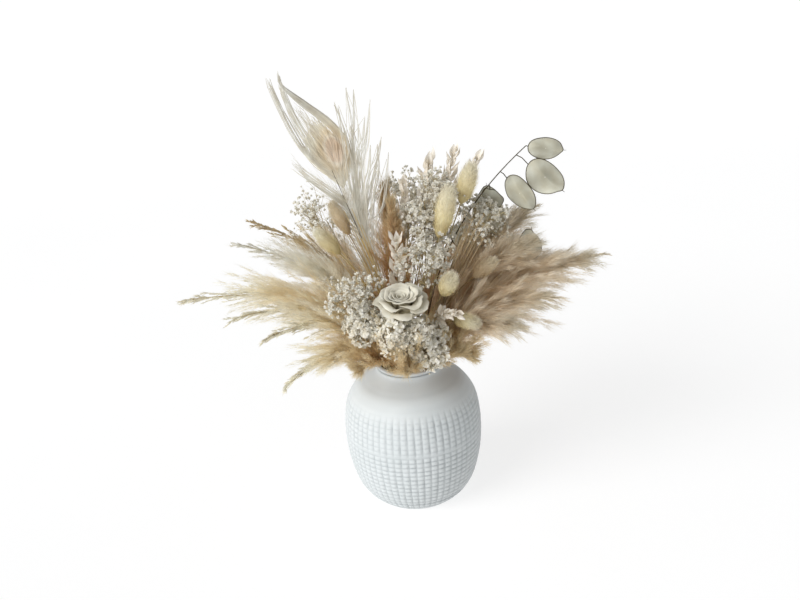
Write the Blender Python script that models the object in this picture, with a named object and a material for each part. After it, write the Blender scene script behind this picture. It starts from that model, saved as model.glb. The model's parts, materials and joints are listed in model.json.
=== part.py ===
"""Vase of dried flowers: a white ribbed vase, a column of dry foam with a hole for each stem,
and the stems with their plumes, blooms, sprays and pods. Metres, +Z up, origin under the vase."""

import math
import random

import bmesh
import bpy
import numpy as np
from mathutils import Matrix, Vector
from mathutils.bvhtree import BVHTree

# Vase, as (height, radius)
FOOT_RADIUS = 0.045
LIP_TOP = 0.1525
LIP_TOP_RADIUS = 0.0322
OUTLINE = [
    (0.0, FOOT_RADIUS), (0.003, 0.048), (0.012, 0.0555), (0.025, 0.062), (0.050, 0.068),
    (0.076, 0.070), (0.098, 0.0685), (0.112, 0.0655), (0.121, 0.0615), (0.128, 0.056),
    (0.1335, 0.049), (0.138, 0.041), (0.142, 0.0355), (0.145, 0.0335), (0.1485, 0.0338),
    (0.1515, 0.0345), (LIP_TOP, LIP_TOP_RADIUS),
]
INSIDE = [
    (0.151, 0.0302), (0.140, 0.0295), (0.128, 0.045), (0.100, 0.062), (0.040, 0.061),
    (0.006, 0.040),
]
# Raised net: squares up to the widest ring, long ribs above it, then a smooth collar
NET_ROWS = [0.006 + 0.0072 * row for row in range(11)]
RIB_ROWS = [0.088, 0.102, 0.115]
COLLAR_FROM = 0.120
COLLAR_GAP = 0.002
NET_RAISE = 0.0012
NET_COLUMNS = 60
COLLAR_COLUMNS = 30
INSIDE_COLUMNS = 15

# Foam column: it stands on the vase's floor and the neck holds it upright
FOAM_RADIUS = 0.0285
FOAM_LOW = 0.0065
FOAM_TOP = 0.146
FOAM_SIDES = 24
HOLE_GAP = 0.0004
HOLE_SIDES = 4
HOLE_PAST_TOP = 0.004

# Where the stems stand in the mouth, and how they fan out from a point below it
MOUTH_HEIGHT = 0.150
STEM_DEPTH = 0.034
FOCUS = Vector((0.0, 0.0, 0.020))
SLOT_CIRCLE = 0.0250
SLOT_PITCH = 0.0060
OUTERMOST_LEAN = 70
PUSH_ROUNDS = 400
# A stem's curve: its two handles as shares of the chord, and the sideways swings to try
RISE_HANDLE = 0.42
FALL_HANDLE = 0.34
BENDS = (0, 0.08, -0.08, 0.16, -0.16, 0.24, -0.24, 0.32, -0.32, 0.4, -0.4)
SAMPLE_STEP = 0.003
STEM_ROWS = 6
HEAD_ROW = STEM_ROWS + 1
# Gaps kept to the other nodes and to the rest of a stem's own node
CLEARANCE = 0.0006
OWN_CLEARANCE = 0.0001
ROOT_SHARE = 0.12

# Bunny tails: name, top of the head, lean of the tip in degrees, head length, head radius
BUNNY_TAILS = [
    ("bunny_tail_1", (0.048, -0.020, 0.336), 8, 0.051, 0.0100),
    ("bunny_tail_2", (0.072, 0.000, 0.350), 16, 0.038, 0.0090),
    ("bunny_tail_3", (0.045, -0.062, 0.264), 30, 0.027, 0.0085),
    ("bunny_tail_4", (0.066, -0.068, 0.217), 96, 0.030, 0.0075),
    ("bunny_tail_5", (0.088, -0.030, 0.264), 52, 0.028, 0.0070),
    ("bunny_tail_6", (-0.064, 0.020, 0.317), 30, 0.035, 0.0070),
    ("bunny_tail_7", (-0.080, 0.000, 0.295), 44, 0.031, 0.0075),
    ("bunny_tail_8", (0.040, 0.075, 0.318), 26, 0.040, 0.0090),
]
# Leafy sprigs: name, tip, lean of the tip, length of the leafy part, leaf length
SPRIGS = [
    ("leafy_sprig_1", (0.006, 0.012, 0.336), -4, 0.060, 0.016),
    ("leafy_sprig_2", (0.033, 0.022, 0.351), 10, 0.060, 0.020),
    ("leafy_sprig_3", (0.057, 0.026, 0.357), 14, 0.052, 0.018),
    ("leafy_sprig_4", (0.080, 0.012, 0.355), 38, 0.044, 0.016),
    ("leafy_sprig_5", (-0.004, -0.040, 0.296), 10, 0.058, 0.018),
    ("leafy_sprig_6", (0.047, -0.084, 0.236), 78, 0.040, 0.020),
]
# Baby's breath: name, top of the spray, lean of the tip, length of the branched part
SPRAYS = [
    ("babys_breath_1", (0.010, 0.000, 0.310), 6, 0.060),
    ("babys_breath_2", (0.040, 0.010, 0.330), 14, 0.056),
    ("babys_breath_3", (0.088, 0.014, 0.300), 36, 0.056),
    ("babys_breath_4", (0.028, -0.036, 0.280), 22, 0.056),
    ("babys_breath_5", (-0.095, 0.052, 0.302), 46, 0.070),
    ("babys_breath_6", (-0.056, -0.062, 0.248), 48, 0.050),
    ("babys_breath_7", (0.010, 0.100, 0.304), 30, 0.064),
]
# Heads of small white florets: name, top, lean of the tip
FLORET_HEADS = [
    ("floret_head_1", (-0.046, -0.066, 0.222), 62),
    ("floret_head_2", (-0.010, -0.084, 0.214), 66),
    ("floret_head_3", (0.022, -0.080, 0.194), 80),
]
FLORETS_FROM_TIP = 0.020
# How far each row of florets tilts towards the head's top
FLORET_TILTS = (-0.15, 0.70)
# Plumes: name, tip, lean of the tip, bare share of the stem, branchlet length, rows of branchlets
PLUMES = [
    ("plume_left_1", (-0.218, 0.000, 0.234), 94, 0.30, 0.040, 14),
    ("plume_left_2", (-0.153, 0.075, 0.286), 80, 0.32, 0.040, 12),
    ("plume_left_3", (-0.158, 0.012, 0.284), 74, 0.32, 0.040, 12),
    ("plume_left_4", (-0.165, -0.036, 0.226), 100, 0.30, 0.040, 12),
    ("plume_left_5", (-0.134, -0.068, 0.216), 106, 0.30, 0.036, 11),
    ("plume_left_6", (-0.118, -0.078, 0.170), 128, 0.34, 0.030, 10),
    ("plume_left_7", (-0.058, -0.084, 0.172), 122, 0.40, 0.022, 8),
    ("plume_right_1", (0.196, 0.000, 0.252), 78, 0.30, 0.040, 14),
    ("plume_right_2", (0.168, 0.048, 0.229), 86, 0.32, 0.038, 11),
    ("plume_right_3", (0.134, 0.046, 0.289), 52, 0.30, 0.044, 13),
    ("plume_right_4", (0.142, -0.036, 0.225), 84, 0.30, 0.038, 12),
    ("plume_right_5", (0.106, -0.068, 0.212), 92, 0.34, 0.034, 10),
    ("plume_right_6", (0.066, -0.056, 0.172), 124, 0.42, 0.020, 8),
    ("plume_centre", (-0.012, 0.056, 0.316), 8, 0.46, 0.024, 9),
    ("plume_front", (-0.004, -0.088, 0.176), 118, 0.50, 0.014, 6),
    ("plume_back_1", (0.090, 0.120, 0.262), 76, 0.42, 0.038, 9),
    ("plume_back_2", (0.000, 0.150, 0.250), 82, 0.42, 0.038, 9),
    ("plume_back_3", (-0.095, 0.125, 0.262), 76, 0.42, 0.038, 9),
]
PLUME_SAG = 0.10
PLUME_CORE = 0.0032
# Honesty: name, tip, lean of the tip, then its pods, the one at the stem's end first, each as
# (distance from the tip, azimuth, lean, twig length, pod length)
HONESTY = [
    ("honesty_1", (0.126, 0.020, 0.360), 52, (
        (0.004, 0, 100, 0.004, 0.032), (0.012, -18, 128, 0.014, 0.042),
        (0.034, -30, 136, 0.010, 0.036), (0.050, 75, 150, 0.008, 0.030),
    )),
    ("honesty_2", (0.096, 0.034, 0.262), 34, (
        (0.004, 150, 6, 0.006, 0.046), (0.020, 150, 50, 0.008, 0.036),
    )),
    ("honesty_3", (0.122, 0.012, 0.240), 70, (
        (0.004, -10, 10, 0.004, 0.034), (0.020, 90, 60, 0.008, 0.034),
    )),
]
HONESTY_BRANCHED = 0.070
POD_WIDTH_SHARE = 0.72
# A pod's sections, as (share of its length, share of its width)
POD_SECTIONS = ((0.10, 0.50), (0.32, 0.92), (0.60, 0.98), (0.86, 0.62))
# Rose: base of the bloom and lean of its face
ROSE_BASE = (-0.003, -0.072, 0.240)
ROSE_LEAN = 16
ROSE_RADIUS = 0.0243
HEART_TURNS = 2.4
HEART_STEPS = 20
HEART_FROM = 0.0018
HEART_RADIUS = 0.0120
HEART_HEIGHT = 0.0185
HEART_FLARE = 0.001
PETAL_FOOT = 0.002
PETAL_SKEW = 0.0011
# Petal layers, the inner first: count, radius at the foot, radius at the rim, height, half span
PETAL_LAYERS = [
    (5, 0.0090, 0.0185, 0.0150, 44),
    (6, 0.0110, 0.0255, 0.0085, 36),
]
# Hub that the petals stand in, as (height, radius)
CUP = [(0.0, 0.0045), (0.0022, 0.0135), (0.0045, 0.0128), (0.0060, 0.0040)]
CUP_SIDES = 9
# Feather: how far it rises straight from the mouth, then its line; where its barbs and its eye
# begin and end, as shares of the shaft
FEATHER_RISE = 0.085
FEATHER_HANDLE = (-0.062, 0.030, 0.335)
FEATHER_TIP = (-0.082, 0.030, 0.418)
BARBS_FROM = 0.40
BARB_ROWS = 22
EYE_FROM = 0.70
EYE_TO = 0.88

# Thickness of leaves, petals, barbs and pods
BLADE = 0.0009
SEED = 7
UP = Vector((0.0, 0.0, 1.0))

COLOURS = {
    "ceramic": ((0.82, 0.83, 0.82), 0.6),
    "foam": ((0.22, 0.20, 0.16), 0.95),
    "plume": ((0.62, 0.47, 0.32), 0.8),
    "bunny": ((0.83, 0.76, 0.56), 0.85),
    "blossom": ((0.86, 0.84, 0.78), 0.8),
    "leaf": ((0.80, 0.79, 0.73), 0.7),
    "floret": ((0.84, 0.85, 0.82), 0.75),
    "rose": ((0.84, 0.79, 0.68), 0.7),
    "feather": ((0.72, 0.65, 0.55), 0.6),
    "pod": ((0.62, 0.58, 0.48), 0.45),
}


class Path:
    """A smooth line from the foot of a stem to its tip, read by the distance along it."""

    def __init__(self, foot, first, second, tip, steps=60):
        root = foot + (foot - first).normalized() * STEM_DEPTH
        self.points = [root]
        for i in range(steps + 1):
            t = i / steps
            u = 1 - t
            self.points.append(
                u**3 * foot + 3 * u * u * t * first + 3 * u * t * t * second + t**3 * tip
            )
        self.walked = [0.0]
        for a, b in zip(self.points, self.points[1:]):
            self.walked.append(self.walked[-1] + (b - a).length)
        self.length = self.walked[-1]

    def point(self, distance):
        distance = min(max(distance, 0.0), self.length)
        for i in range(1, len(self.walked)):
            if distance <= self.walked[i]:
                step = self.walked[i] - self.walked[i - 1]
                share = (distance - self.walked[i - 1]) / step
                return self.points[i - 1].lerp(self.points[i], share)
        return self.points[-1].copy()

    def along(self, distance):
        near = 0.002
        return (self.point(distance + near) - self.point(distance - near)).normalized()

    def beyond(self, distance):
        """The point that lies this far past the tip."""
        return self.points[-1] + self.along(self.length) * distance


class Part:
    """One node in the making: its mesh, its path and the faces that its repeats grow from."""

    def __init__(self, name, material):
        self.name = name
        self.material = material
        self.bm = bmesh.new()
        self.path = None
        self.side = None
        self.rows = []
        self.reach = []
        self.sockets = []
        self.cap = None
        self.details = {}


def unit(azimuth, lean=90.0):
    """A direction from its azimuth and its lean from the vertical, in degrees."""
    turn, tilt = math.radians(azimuth), math.radians(lean)
    flat = math.sin(tilt)
    return Vector((flat * math.cos(turn), flat * math.sin(turn), math.cos(tilt)))


def frame_at(part, distance):
    """Sideways, upward and forward directions of a stem at a distance along it."""
    forward = part.path.along(distance)
    sideways = (part.side - forward * part.side.dot(forward)).normalized()
    return sideways, forward.cross(sideways), forward


def oval(centre, across, up, half_width, half_depth, sides, turn=0.0):
    points = []
    for i in range(sides):
        angle = 2 * math.pi * i / sides + turn
        wide, deep = half_width * math.cos(angle), half_depth * math.sin(angle)
        points.append(centre + across * wide + up * deep)
    return points


def slab(centre, across, up, half_width, half_depth):
    """The four corners of a flat blade's section."""
    wide, deep = across * half_width, up * half_depth
    return [centre + wide + deep, centre - wide + deep, centre - wide - deep, centre + wide - deep]


def middle(points):
    return sum(points, Vector()) / len(points)


def matched(corners, points):
    """The ring's points, started where they twist least against the corners before them."""
    count = len(corners)
    before = [(c - middle(corners)).normalized() for c in corners]
    after = [(p - middle(points)).normalized() for p in points]

    def twist(shift):
        return sum((before[i] - after[(i + shift) % count]).length for i in range(count))

    shift = min(range(count), key=twist)
    return [points[(i + shift) % count] for i in range(count)]


def corners_of(face):
    return [v.co.copy() for v in face.verts]


def prism(bm, low, high):
    """A closed body between two rings; returns its far cap."""
    bottom = [bm.verts.new(p) for p in low]
    top = [bm.verts.new(p) for p in high]
    bm.faces.new(bottom[::-1])
    count = len(bottom)
    for i in range(count):
        j = (i + 1) % count
        bm.faces.new((bottom[i], bottom[j], top[j], top[i]))
    return bm.faces.new(top)


def extend(bm, face, points):
    """Extrudes a face to a ring; returns the new cap and its side faces."""
    cap = bmesh.ops.extrude_discrete_faces(bm, faces=[face])["faces"][0]
    for vert, point in zip(cap.verts, points):
        vert.co = point
    return cap, [f for edge in cap.edges for f in edge.link_faces if f is not cap]


def sharpen(bm, face, tip):
    """Raises a face to a point; returns the faces round the point."""
    point = bmesh.ops.poke(bm, faces=[face])["verts"][0]
    point.co = tip
    return list(point.link_faces)


def double_sides(bm, cap):
    for edge in list(cap.edges):
        bmesh.utils.edge_split(edge, edge.verts[0], 0.5)


# Clearance between the nodes

TREES = {}


def remember(part):
    points = np.array([v.co for v in part.bm.verts])
    TREES[part.name] = (points.min(axis=0), points.max(axis=0), BVHTree.FromBMesh(part.bm))


def widened(ring, gap):
    centre = middle(ring)
    return [p + (p - centre).normalized() * gap for p in ring]


def chain_tree(rings, tip, gap):
    """A search tree of a chain of equal rings ended by a tip, made wider by the gap."""
    rings = [widened(ring, gap) for ring in rings]
    tip = tip + (tip - middle(rings[-1])).normalized() * gap
    count = len(rings[0])
    points = [p for ring in rings for p in ring] + [tip]
    faces = [list(range(count))]
    for k in range(len(rings) - 1):
        for i in range(count):
            here, there = k * count + i, k * count + (i + 1) % count
            faces.append([here, there, there + count, here + count])
    last = (len(rings) - 1) * count
    faces += [[last + i, last + (i + 1) % count, len(points) - 1] for i in range(count)]
    return points, BVHTree.FromPolygons(points, faces)


def is_clear(name, rings, tip):
    """Whether such a chain keeps clear of every other node."""
    points, shape = chain_tree(rings, tip, CLEARANCE)
    corners = np.array(points)
    low, high = corners.min(axis=0), corners.max(axis=0)
    for other, (other_low, other_high, tree) in TREES.items():
        if other == name or (low > other_high).any() or (high < other_low).any():
            continue
        if shape.overlap(tree):
            return False
    return True


def misses_itself(part, rings, tip):
    """Whether the chain beyond its first ring keeps clear of what its own node has so far."""
    _, shape = chain_tree(rings, tip, OWN_CLEARANCE)
    return not shape.overlap(BVHTree.FromBMesh(part.bm))


def grow(part, face, shape, sizes=(1.0, 0.75, 0.5)):
    """Grows a face into shape(size), which gives rings and a tip, at the first size that is
    clear of the other nodes and of its own. Returns the faces round the tip, or nothing."""
    for size in sizes:
        rings, tip = shape(size)
        before = start = corners_of(face)
        placed = []
        for ring in rings:
            before = matched(before, ring)
            placed.append(before)
        if not is_clear(part.name, [start, *placed], tip):
            continue
        if placed:
            lifted = [a.lerp(b, ROOT_SHARE) for a, b in zip(start, placed[0])]
            if not misses_itself(part, [lifted, *placed], tip):
                continue
        for ring in placed:
            face, _ = extend(part.bm, face, ring)
        return sharpen(part.bm, face, tip)
    return []


# Stems

def polar(tip):
    rise = tip[2] - MOUTH_HEIGHT
    flat = math.hypot(tip[0], tip[1])
    return math.atan2(tip[1], tip[0]), math.degrees(math.atan2(flat, rise))


def spread_slots(tips):
    """Where each stem stands in the mouth: on its tip's side, the more it leans the further out,
    then pushed apart until every pair keeps the pitch."""
    places = []
    for tip in tips:
        azimuth, lean = polar(tip)
        reach = SLOT_CIRCLE * min(1.0, lean / OUTERMOST_LEAN)
        places.append([reach * math.cos(azimuth), reach * math.sin(azimuth)])
    places = np.array(places)
    for _ in range(PUSH_ROUNDS):
        gaps = places[:, None] - places[None]
        spans = np.linalg.norm(gaps, axis=2) + np.eye(len(places))
        push = np.clip(SLOT_PITCH * 1.04 - spans, 0, None) * (1 - np.eye(len(places)))
        places = places + 0.4 * (gaps / spans[..., None] * push[..., None]).sum(axis=1)
        out = np.linalg.norm(places, axis=1)
        places = places * np.minimum(1.0, SLOT_CIRCLE / np.maximum(out, 1e-9))[:, None]
    return [Vector((x, y, MOUTH_HEIGHT)) for x, y in places]


def stem_path(foot, tip, lean, bend):
    """From the mouth along the fan of stems, then over to the lean of the tip."""
    tip = Vector(tip)
    flat = Vector((tip.x - foot.x, tip.y - foot.y, 0.0)).normalized()
    chord = (tip - foot).length
    sideways = Vector((-flat.y, flat.x, 0.0))
    start = (foot - FOCUS).normalized()
    tilt = math.radians(lean)
    end = flat * math.sin(tilt) + UP * math.cos(tilt)
    swing = sideways * bend * chord
    first = foot + start * chord * RISE_HANDLE
    second = tip - end * chord * FALL_HANDLE + swing
    return Path(foot, first, second, tip), sideways


def rows_between(low, high, count, radius):
    """Rows of a tube: distances from low to high and the radius at each share of the way."""
    return [
        (low + (high - low) * i / count, radius(i / count))
        for i in range(count + 1)
    ]


def bare_stem(length, radius):
    return rows_between(0.0, length, STEM_ROWS, lambda share: radius)


def samples(part):
    """Points along the part with the radius there that other stems keep clear of."""
    steps = max(2, int(part.path.length / SAMPLE_STEP))
    distances = [part.path.length * i / steps for i in range(steps + 1)]
    known = [row[0] for row in part.reach]
    radii = np.interp(distances, known, [row[1] for row in part.reach])
    return np.array([part.path.point(d) for d in distances]), radii


def gap_between(first, second):
    spans = np.linalg.norm(first[0][:, None] - second[0][None], axis=2)
    return (spans - first[1][:, None] - second[1][None]).min()


def swept(part, sides, head_from=None, doubled=False, turn=0.0):
    """A tube through the part's rows. From the row head_from its side faces become sockets,
    as (distance, row, face), and it may have twice the sides there."""
    bm = part.bm

    def ring(row):
        sideways, upward, _ = frame_at(part, row[0])
        return oval(part.path.point(row[0]), sideways, upward, row[1], row[1], sides, turn)

    cap = prism(bm, ring(part.rows[0]), ring(part.rows[1]))
    for i in range(2, len(part.rows)):
        if doubled and i == head_from + 1:
            double_sides(bm, cap)
            sides *= 2
        cap, around = extend(bm, cap, matched(corners_of(cap), ring(part.rows[i])))
        if head_from is not None and i > head_from:
            centre = (part.rows[i - 1][0] + part.rows[i][0]) / 2
            part.sockets += [(centre, i - head_from, face) for face in around]
    part.cap = cap


def outward(part, distance, face):
    """The direction from the stem's line out through a face."""
    forward = part.path.along(distance)
    line = face.calc_center_median() - part.path.point(distance)
    return (line - forward * line.dot(forward)).normalized()


# Repeats

def branchlet(part, distance, face, length, spread, rng):
    """A plume's branchlet: it leaves the stem at the spread angle and hangs a little."""
    _, _, forward = frame_at(part, distance)
    out = outward(part, distance, face)
    angle = math.radians(spread)
    heading = forward * math.cos(angle) + out * math.sin(angle)
    centre = face.calc_center_median()
    reach = length * rng.uniform(0.8, 1.15)

    def shape(size):
        return [], centre + (heading - UP * PLUME_SAG * size) * reach * size

    grow(part, face, shape, sizes=(1.0, 0.8, 0.6, 0.4, 0.25))


def hair_tuft(part, distance, face, radius):
    """A tuft of a bunny tail's bristles, lying towards the head's top."""
    out = outward(part, distance, face)
    forward = part.path.along(distance)
    centre = face.calc_center_median()
    core = (centre - part.path.point(distance)).length
    high = max(radius - core, 0.0015)

    def shape(size):
        return [], centre + (out * high + forward * (high * 1.1 + 0.0015)) * size

    grow(part, face, shape)


def leaf(part, face, heading, across, length, half_width, sizes=(1.0, 0.75, 0.5)):
    """A pointed leaf, widest below its middle, thickest at the rib."""
    centre = face.calc_center_median()
    up = heading.cross(across).normalized()

    def shape(size):
        reach = length * size
        widest = centre + heading * reach * 0.42 + up * reach * 0.06
        return [slab(widest, across, up, half_width * size, BLADE / 2)], centre + heading * reach

    return grow(part, face, shape, sizes)


def twig_with_buds(part, face, heading, length, rng):
    """A twig that parts in three, each end with a small round blossom."""
    centre = face.calc_center_median()
    across = heading.orthogonal().normalized()
    up = heading.cross(across)

    def shape(size):
        end = centre + heading * length * size
        count = len(face.verts)
        return [oval(end, across, up, 0.0007, 0.0007, count)], end + heading * 0.0008

    for bud_face in grow(part, face, shape)[:3]:
        way = (heading * rng.uniform(0.6, 1.1) + bud_face.normal).normalized()
        bud(part, bud_face, way, rng.uniform(0.008, 0.012), rng.uniform(0.0021, 0.0027))


def bud(part, face, way, length, radius):
    """A small round blossom on its stalk."""
    across = way.orthogonal().normalized()
    up = way.cross(across)
    centre = face.calc_center_median()

    def shape(size):
        end = centre + way * length * size
        return [oval(end, across, up, radius, radius, 3)], end + way * radius * 1.3

    grow(part, face, shape)


def floret(part, face, out, stalk, petal):
    """A floret on its stalk, with a pointed petal for each corner of the face it grows from."""
    centre = face.calc_center_median()
    count = len(face.verts)
    across = out.orthogonal().normalized()
    up = out.cross(across)

    def star(height, reach):
        points = []
        for i in range(2 * count):
            far = reach if i % 2 == 0 else reach * 0.45
            turn = math.pi * i / count
            side = across * math.cos(turn) + up * math.sin(turn)
            points.append(centre + out * height + side * far)
        return points

    for size in (1.0, 0.8, 0.6):
        height = stalk * size
        wide = petal * size
        disc = [
            oval(centre + out * height * 0.5, across, up, 0.002, 0.002, 8),
            oval(centre + out * height, across, up, wide, wide, 8),
        ]
        top = centre + out * (height + 2 * BLADE)
        if is_clear(part.name, disc, top) and misses_itself(part, disc, top):
            break
    else:
        return
    neck = oval(centre + out * height * 0.8, across, up, 0.0011, 0.0011, count)
    face, _ = extend(part.bm, face, matched(corners_of(face), neck))
    double_sides(part.bm, face)
    face, _ = extend(part.bm, face, matched(corners_of(face), star(height, wide)))
    sharpen(part.bm, face, centre + out * (height + 2 * BLADE))


def pod(part, face, heading, facing, twig, length):
    """A flat oval honesty pod on a thin twig."""
    centre = face.calc_center_median()
    across = heading.cross(facing).normalized()
    up = heading.cross(across)
    half = length * POD_WIDTH_SHARE / 2

    def section(at, wide, deep):
        if len(face.verts) == 4:
            return slab(at, across, up, wide, deep)
        return oval(at, across, up, wide, deep * 1.4, len(face.verts))

    def shape(size):
        rings = [section(centre + heading * twig, 0.0006, 0.0006)]
        for share, wide in POD_SECTIONS:
            at = centre + heading * (twig + length * share * size)
            rings.append(section(at, half * wide * size, BLADE / 2))
        return rings, centre + heading * (twig + length * size)

    return grow(part, face, shape, sizes=(1.0, 0.85, 0.7, 0.5))


# The nodes

def make_stem(name, material, line, laid, rows, reach):
    """Lays one stem, swung sideways just enough to keep clear of those laid before."""
    part = Part(name, material)
    for bend in BENDS:
        part.path, part.side = stem_path(*line, bend)
        part.rows = rows(part.path.length)
        part.reach = reach(part.path.length)
        taken = samples(part)
        if all(gap_between(taken, other) > CLEARANCE for other in laid):
            break
    laid.append(taken)
    return part


def bunny_tail(name, tip, lean, head, radius, foot, laid):
    def swell(share):
        return radius * 0.66 * math.sin(math.pi * (0.08 + 0.84 * share)) ** 0.6

    def rows(length):
        low = length - head
        return bare_stem(low, 0.0008) + rows_between(low + 0.001, length, 6, swell)

    def reach(length):
        low = length - head
        return [(0, 0.0010), (low - 0.002, 0.0010), (low, radius), (length, radius)]

    part = make_stem(name, "bunny", (foot, tip, lean), laid, rows, reach)
    part.details = {"radius": radius, "head": head}
    swept(part, 3, head_from=HEAD_ROW, doubled=True)
    return part


def dress_bunny_tail(part, rng):
    radius, head = part.details["radius"], part.details["head"]
    low = part.path.length - head
    for distance, _, face in part.sockets:
        share = (distance - low) / head
        swell = math.sin(math.pi * (0.06 + 0.80 * share)) ** 0.5
        hair_tuft(part, distance, face, radius * swell)
    sharpen(part.bm, part.cap, part.path.beyond(0.003))


def sprig(name, tip, lean, leafy, leaf_length, foot, laid):
    def taper(share):
        return 0.0010 - 0.0004 * share

    def rows(length):
        low = length - leafy
        return bare_stem(low, 0.0010) + rows_between(low + 0.002, length - 0.004, 7, taper)

    def reach(length):
        return [(0, 0.0011), (length, 0.0011)]

    part = make_stem(name, "leaf", (foot, tip, lean), laid, rows, reach)
    part.details = {"leaf": leaf_length}
    swept(part, 3, head_from=HEAD_ROW)
    return part


def dress_sprig(part, rng):
    """Two leaves at each row, with the bare side turning round the stem."""
    length = part.details["leaf"]
    for number, (distance, row, face) in enumerate(part.sockets):
        if number % 3 == row % 3:
            continue
        forward = part.path.along(distance)
        out = outward(part, distance, face)
        across = forward.cross(out).normalized()
        heading = (forward * 0.75 + out * rng.uniform(0.55, 0.8)).normalized()
        reach = length * rng.uniform(0.85, 1.1)
        leaf(part, face, heading, across, reach, length * 0.21)
    sharpen(part.bm, part.cap, part.path.beyond(0.006))


def spray(name, tip, lean, branched, foot, laid):
    def taper(share):
        return 0.0010 - 0.0002 * share

    def rows(length):
        low = length - branched
        return bare_stem(low, 0.0010) + rows_between(low + 0.002, length - 0.012, 4, taper)

    def reach(length):
        return [(0, 0.0011), (length, 0.0011)]

    part = make_stem(name, "blossom", (foot, tip, lean), laid, rows, reach)
    swept(part, 3, head_from=HEAD_ROW)
    return part


def dress_spray(part, rng):
    """Two twigs at each row, the lower ones longer so that the spray is round."""
    length = part.path.length
    for number, (distance, row, face) in enumerate(part.sockets):
        if number % 3 == row % 3:
            continue
        forward = part.path.along(distance)
        out = outward(part, distance, face)
        heading = (forward + out * rng.uniform(0.6, 0.95)).normalized()
        twig_with_buds(part, face, heading, 0.010 + (length - distance) * 0.45, rng)
    twig_with_buds(part, part.cap, part.path.along(length), 0.006, rng)


def floret_head(name, tip, lean, foot, laid):
    def core(share):
        return 0.0030 + 0.0065 * math.sin(math.pi * (0.15 + 0.7 * share))

    def rows(length):
        low = length - FLORETS_FROM_TIP
        return bare_stem(low, 0.0011) + rows_between(low + 0.001, length - 0.004, 2, core)

    def reach(length):
        low = length - FLORETS_FROM_TIP
        return [(0, 0.0012), (low - 0.006, 0.0012), (low, 0.012), (length, 0.012)]

    part = make_stem(name, "floret", (foot, tip, lean), laid, rows, reach)
    swept(part, 3, head_from=HEAD_ROW, doubled=True)
    return part


def dress_floret_head(part, rng):
    for distance, row, face in part.sockets:
        out = outward(part, distance, face)
        forward = part.path.along(distance)
        way = (out + forward * FLORET_TILTS[row - 1]).normalized()
        floret(part, face, way, rng.uniform(0.006, 0.009), rng.uniform(0.0058, 0.0068))
    floret(part, part.cap, part.path.along(part.path.length), 0.008, 0.0062)


def plume(name, tip, lean, bare, branchlets, count, foot, laid):
    def taper(share):
        return PLUME_CORE * (1 - share) ** 0.7 + 0.0006

    def rows(length):
        low = length * bare
        return bare_stem(low, 0.0012) + rows_between(low + 0.002, length - 0.008, count, taper)

    def reach(length):
        low = length * bare
        return [(0, 0.0013), (low, 0.0013), (low + 0.01, 0.0035), (length, 0.0012)]

    part = make_stem(name, "plume", (foot, tip, lean), laid, rows, reach)
    part.details = {"branchlets": branchlets, "bare": bare}
    swept(part, 3, head_from=HEAD_ROW, doubled=True)
    return part


def fullness(share):
    """How long a plume's branchlets are at a share of the plume."""
    if share < 0.7:
        return 0.55 + 0.45 * math.sin(math.pi * min(1.0, share * 1.4))
    return 1.25 - share


def dress_plume(part, rng):
    length = part.path.length
    low = length * part.details["bare"]
    for distance, _, face in part.sockets:
        share = (distance - low) / (length - low)
        reach = part.details["branchlets"] * fullness(share)
        branchlet(part, distance, face, reach, 30 - 12 * share, rng)
    sharpen(part.bm, part.cap, part.path.point(length))


def honesty(name, tip, lean, pods, foot, laid):
    def taper(share):
        return 0.0009 - 0.0003 * share

    def rows(length):
        low = length - HONESTY_BRANCHED
        return bare_stem(low, 0.0009) + rows_between(low + 0.002, length - 0.002, 8, taper)

    def reach(length):
        return [(0, 0.0010), (length, 0.0010)]

    part = make_stem(name, "pod", (foot, tip, lean), laid, rows, reach)
    part.details = {"pods": pods}
    swept(part, 3, head_from=HEAD_ROW)
    return part


def dress_honesty(part, rng):
    _, azimuth, lean, twig, length = part.details["pods"][0]
    pod(part, part.cap, unit(azimuth, lean), Vector((0.2, -1.0, 0.3)), twig, length)
    free = list(part.sockets)
    for back, azimuth, lean, twig, length in part.details["pods"][1:]:
        way = unit(azimuth, lean)
        want = part.path.length - back

        def fitness(socket):
            return abs(socket[0] - want) * 100 - outward(part, socket[0], socket[2]).dot(way)

        socket = min(free, key=fitness)
        free.remove(socket)
        facing = Vector((rng.uniform(-0.5, 0.5), -1, rng.uniform(0.0, 0.6)))
        pod(part, socket[2], way, facing, twig, length)


def feather(foot, laid):
    part = Part("peacock_feather", "feather")
    first = foot + (foot - FOCUS).normalized() * FEATHER_RISE
    part.path = Path(foot, first, Vector(FEATHER_HANDLE), Vector(FEATHER_TIP))
    part.side = Vector((1.0, 0.0, 0.0))
    length = part.path.length
    low = length * BARBS_FROM

    def taper(share):
        return 0.0011 - 0.0004 * share

    barbed = rows_between(low + 0.002, length - 0.004, BARB_ROWS, taper)
    part.rows = bare_stem(low, 0.0012) + barbed
    part.reach = [(0, 0.0014), (length * 0.6, 0.0014), (length * EYE_FROM, 0.004), (length, 0.003)]
    laid.append(samples(part))
    swept(part, 4, head_from=HEAD_ROW, turn=math.pi / 4)
    return part


def barb_plan(share, right):
    """Angle from the shaft, length and half width of the barbs at a share of the shaft."""
    if share < EYE_FROM:
        low = (share - BARBS_FROM) / (EYE_FROM - BARBS_FROM)
        reach = 0.100 - 0.060 * low if right else 0.040 - 0.008 * low
        return 18 + 20 * low, reach, 0.0009
    if share < EYE_TO:
        return 42, 0.030, 0.0024
    high = (share - EYE_TO) / (1 - EYE_TO)
    return 36 - 24 * high, 0.056, 0.0011


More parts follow.
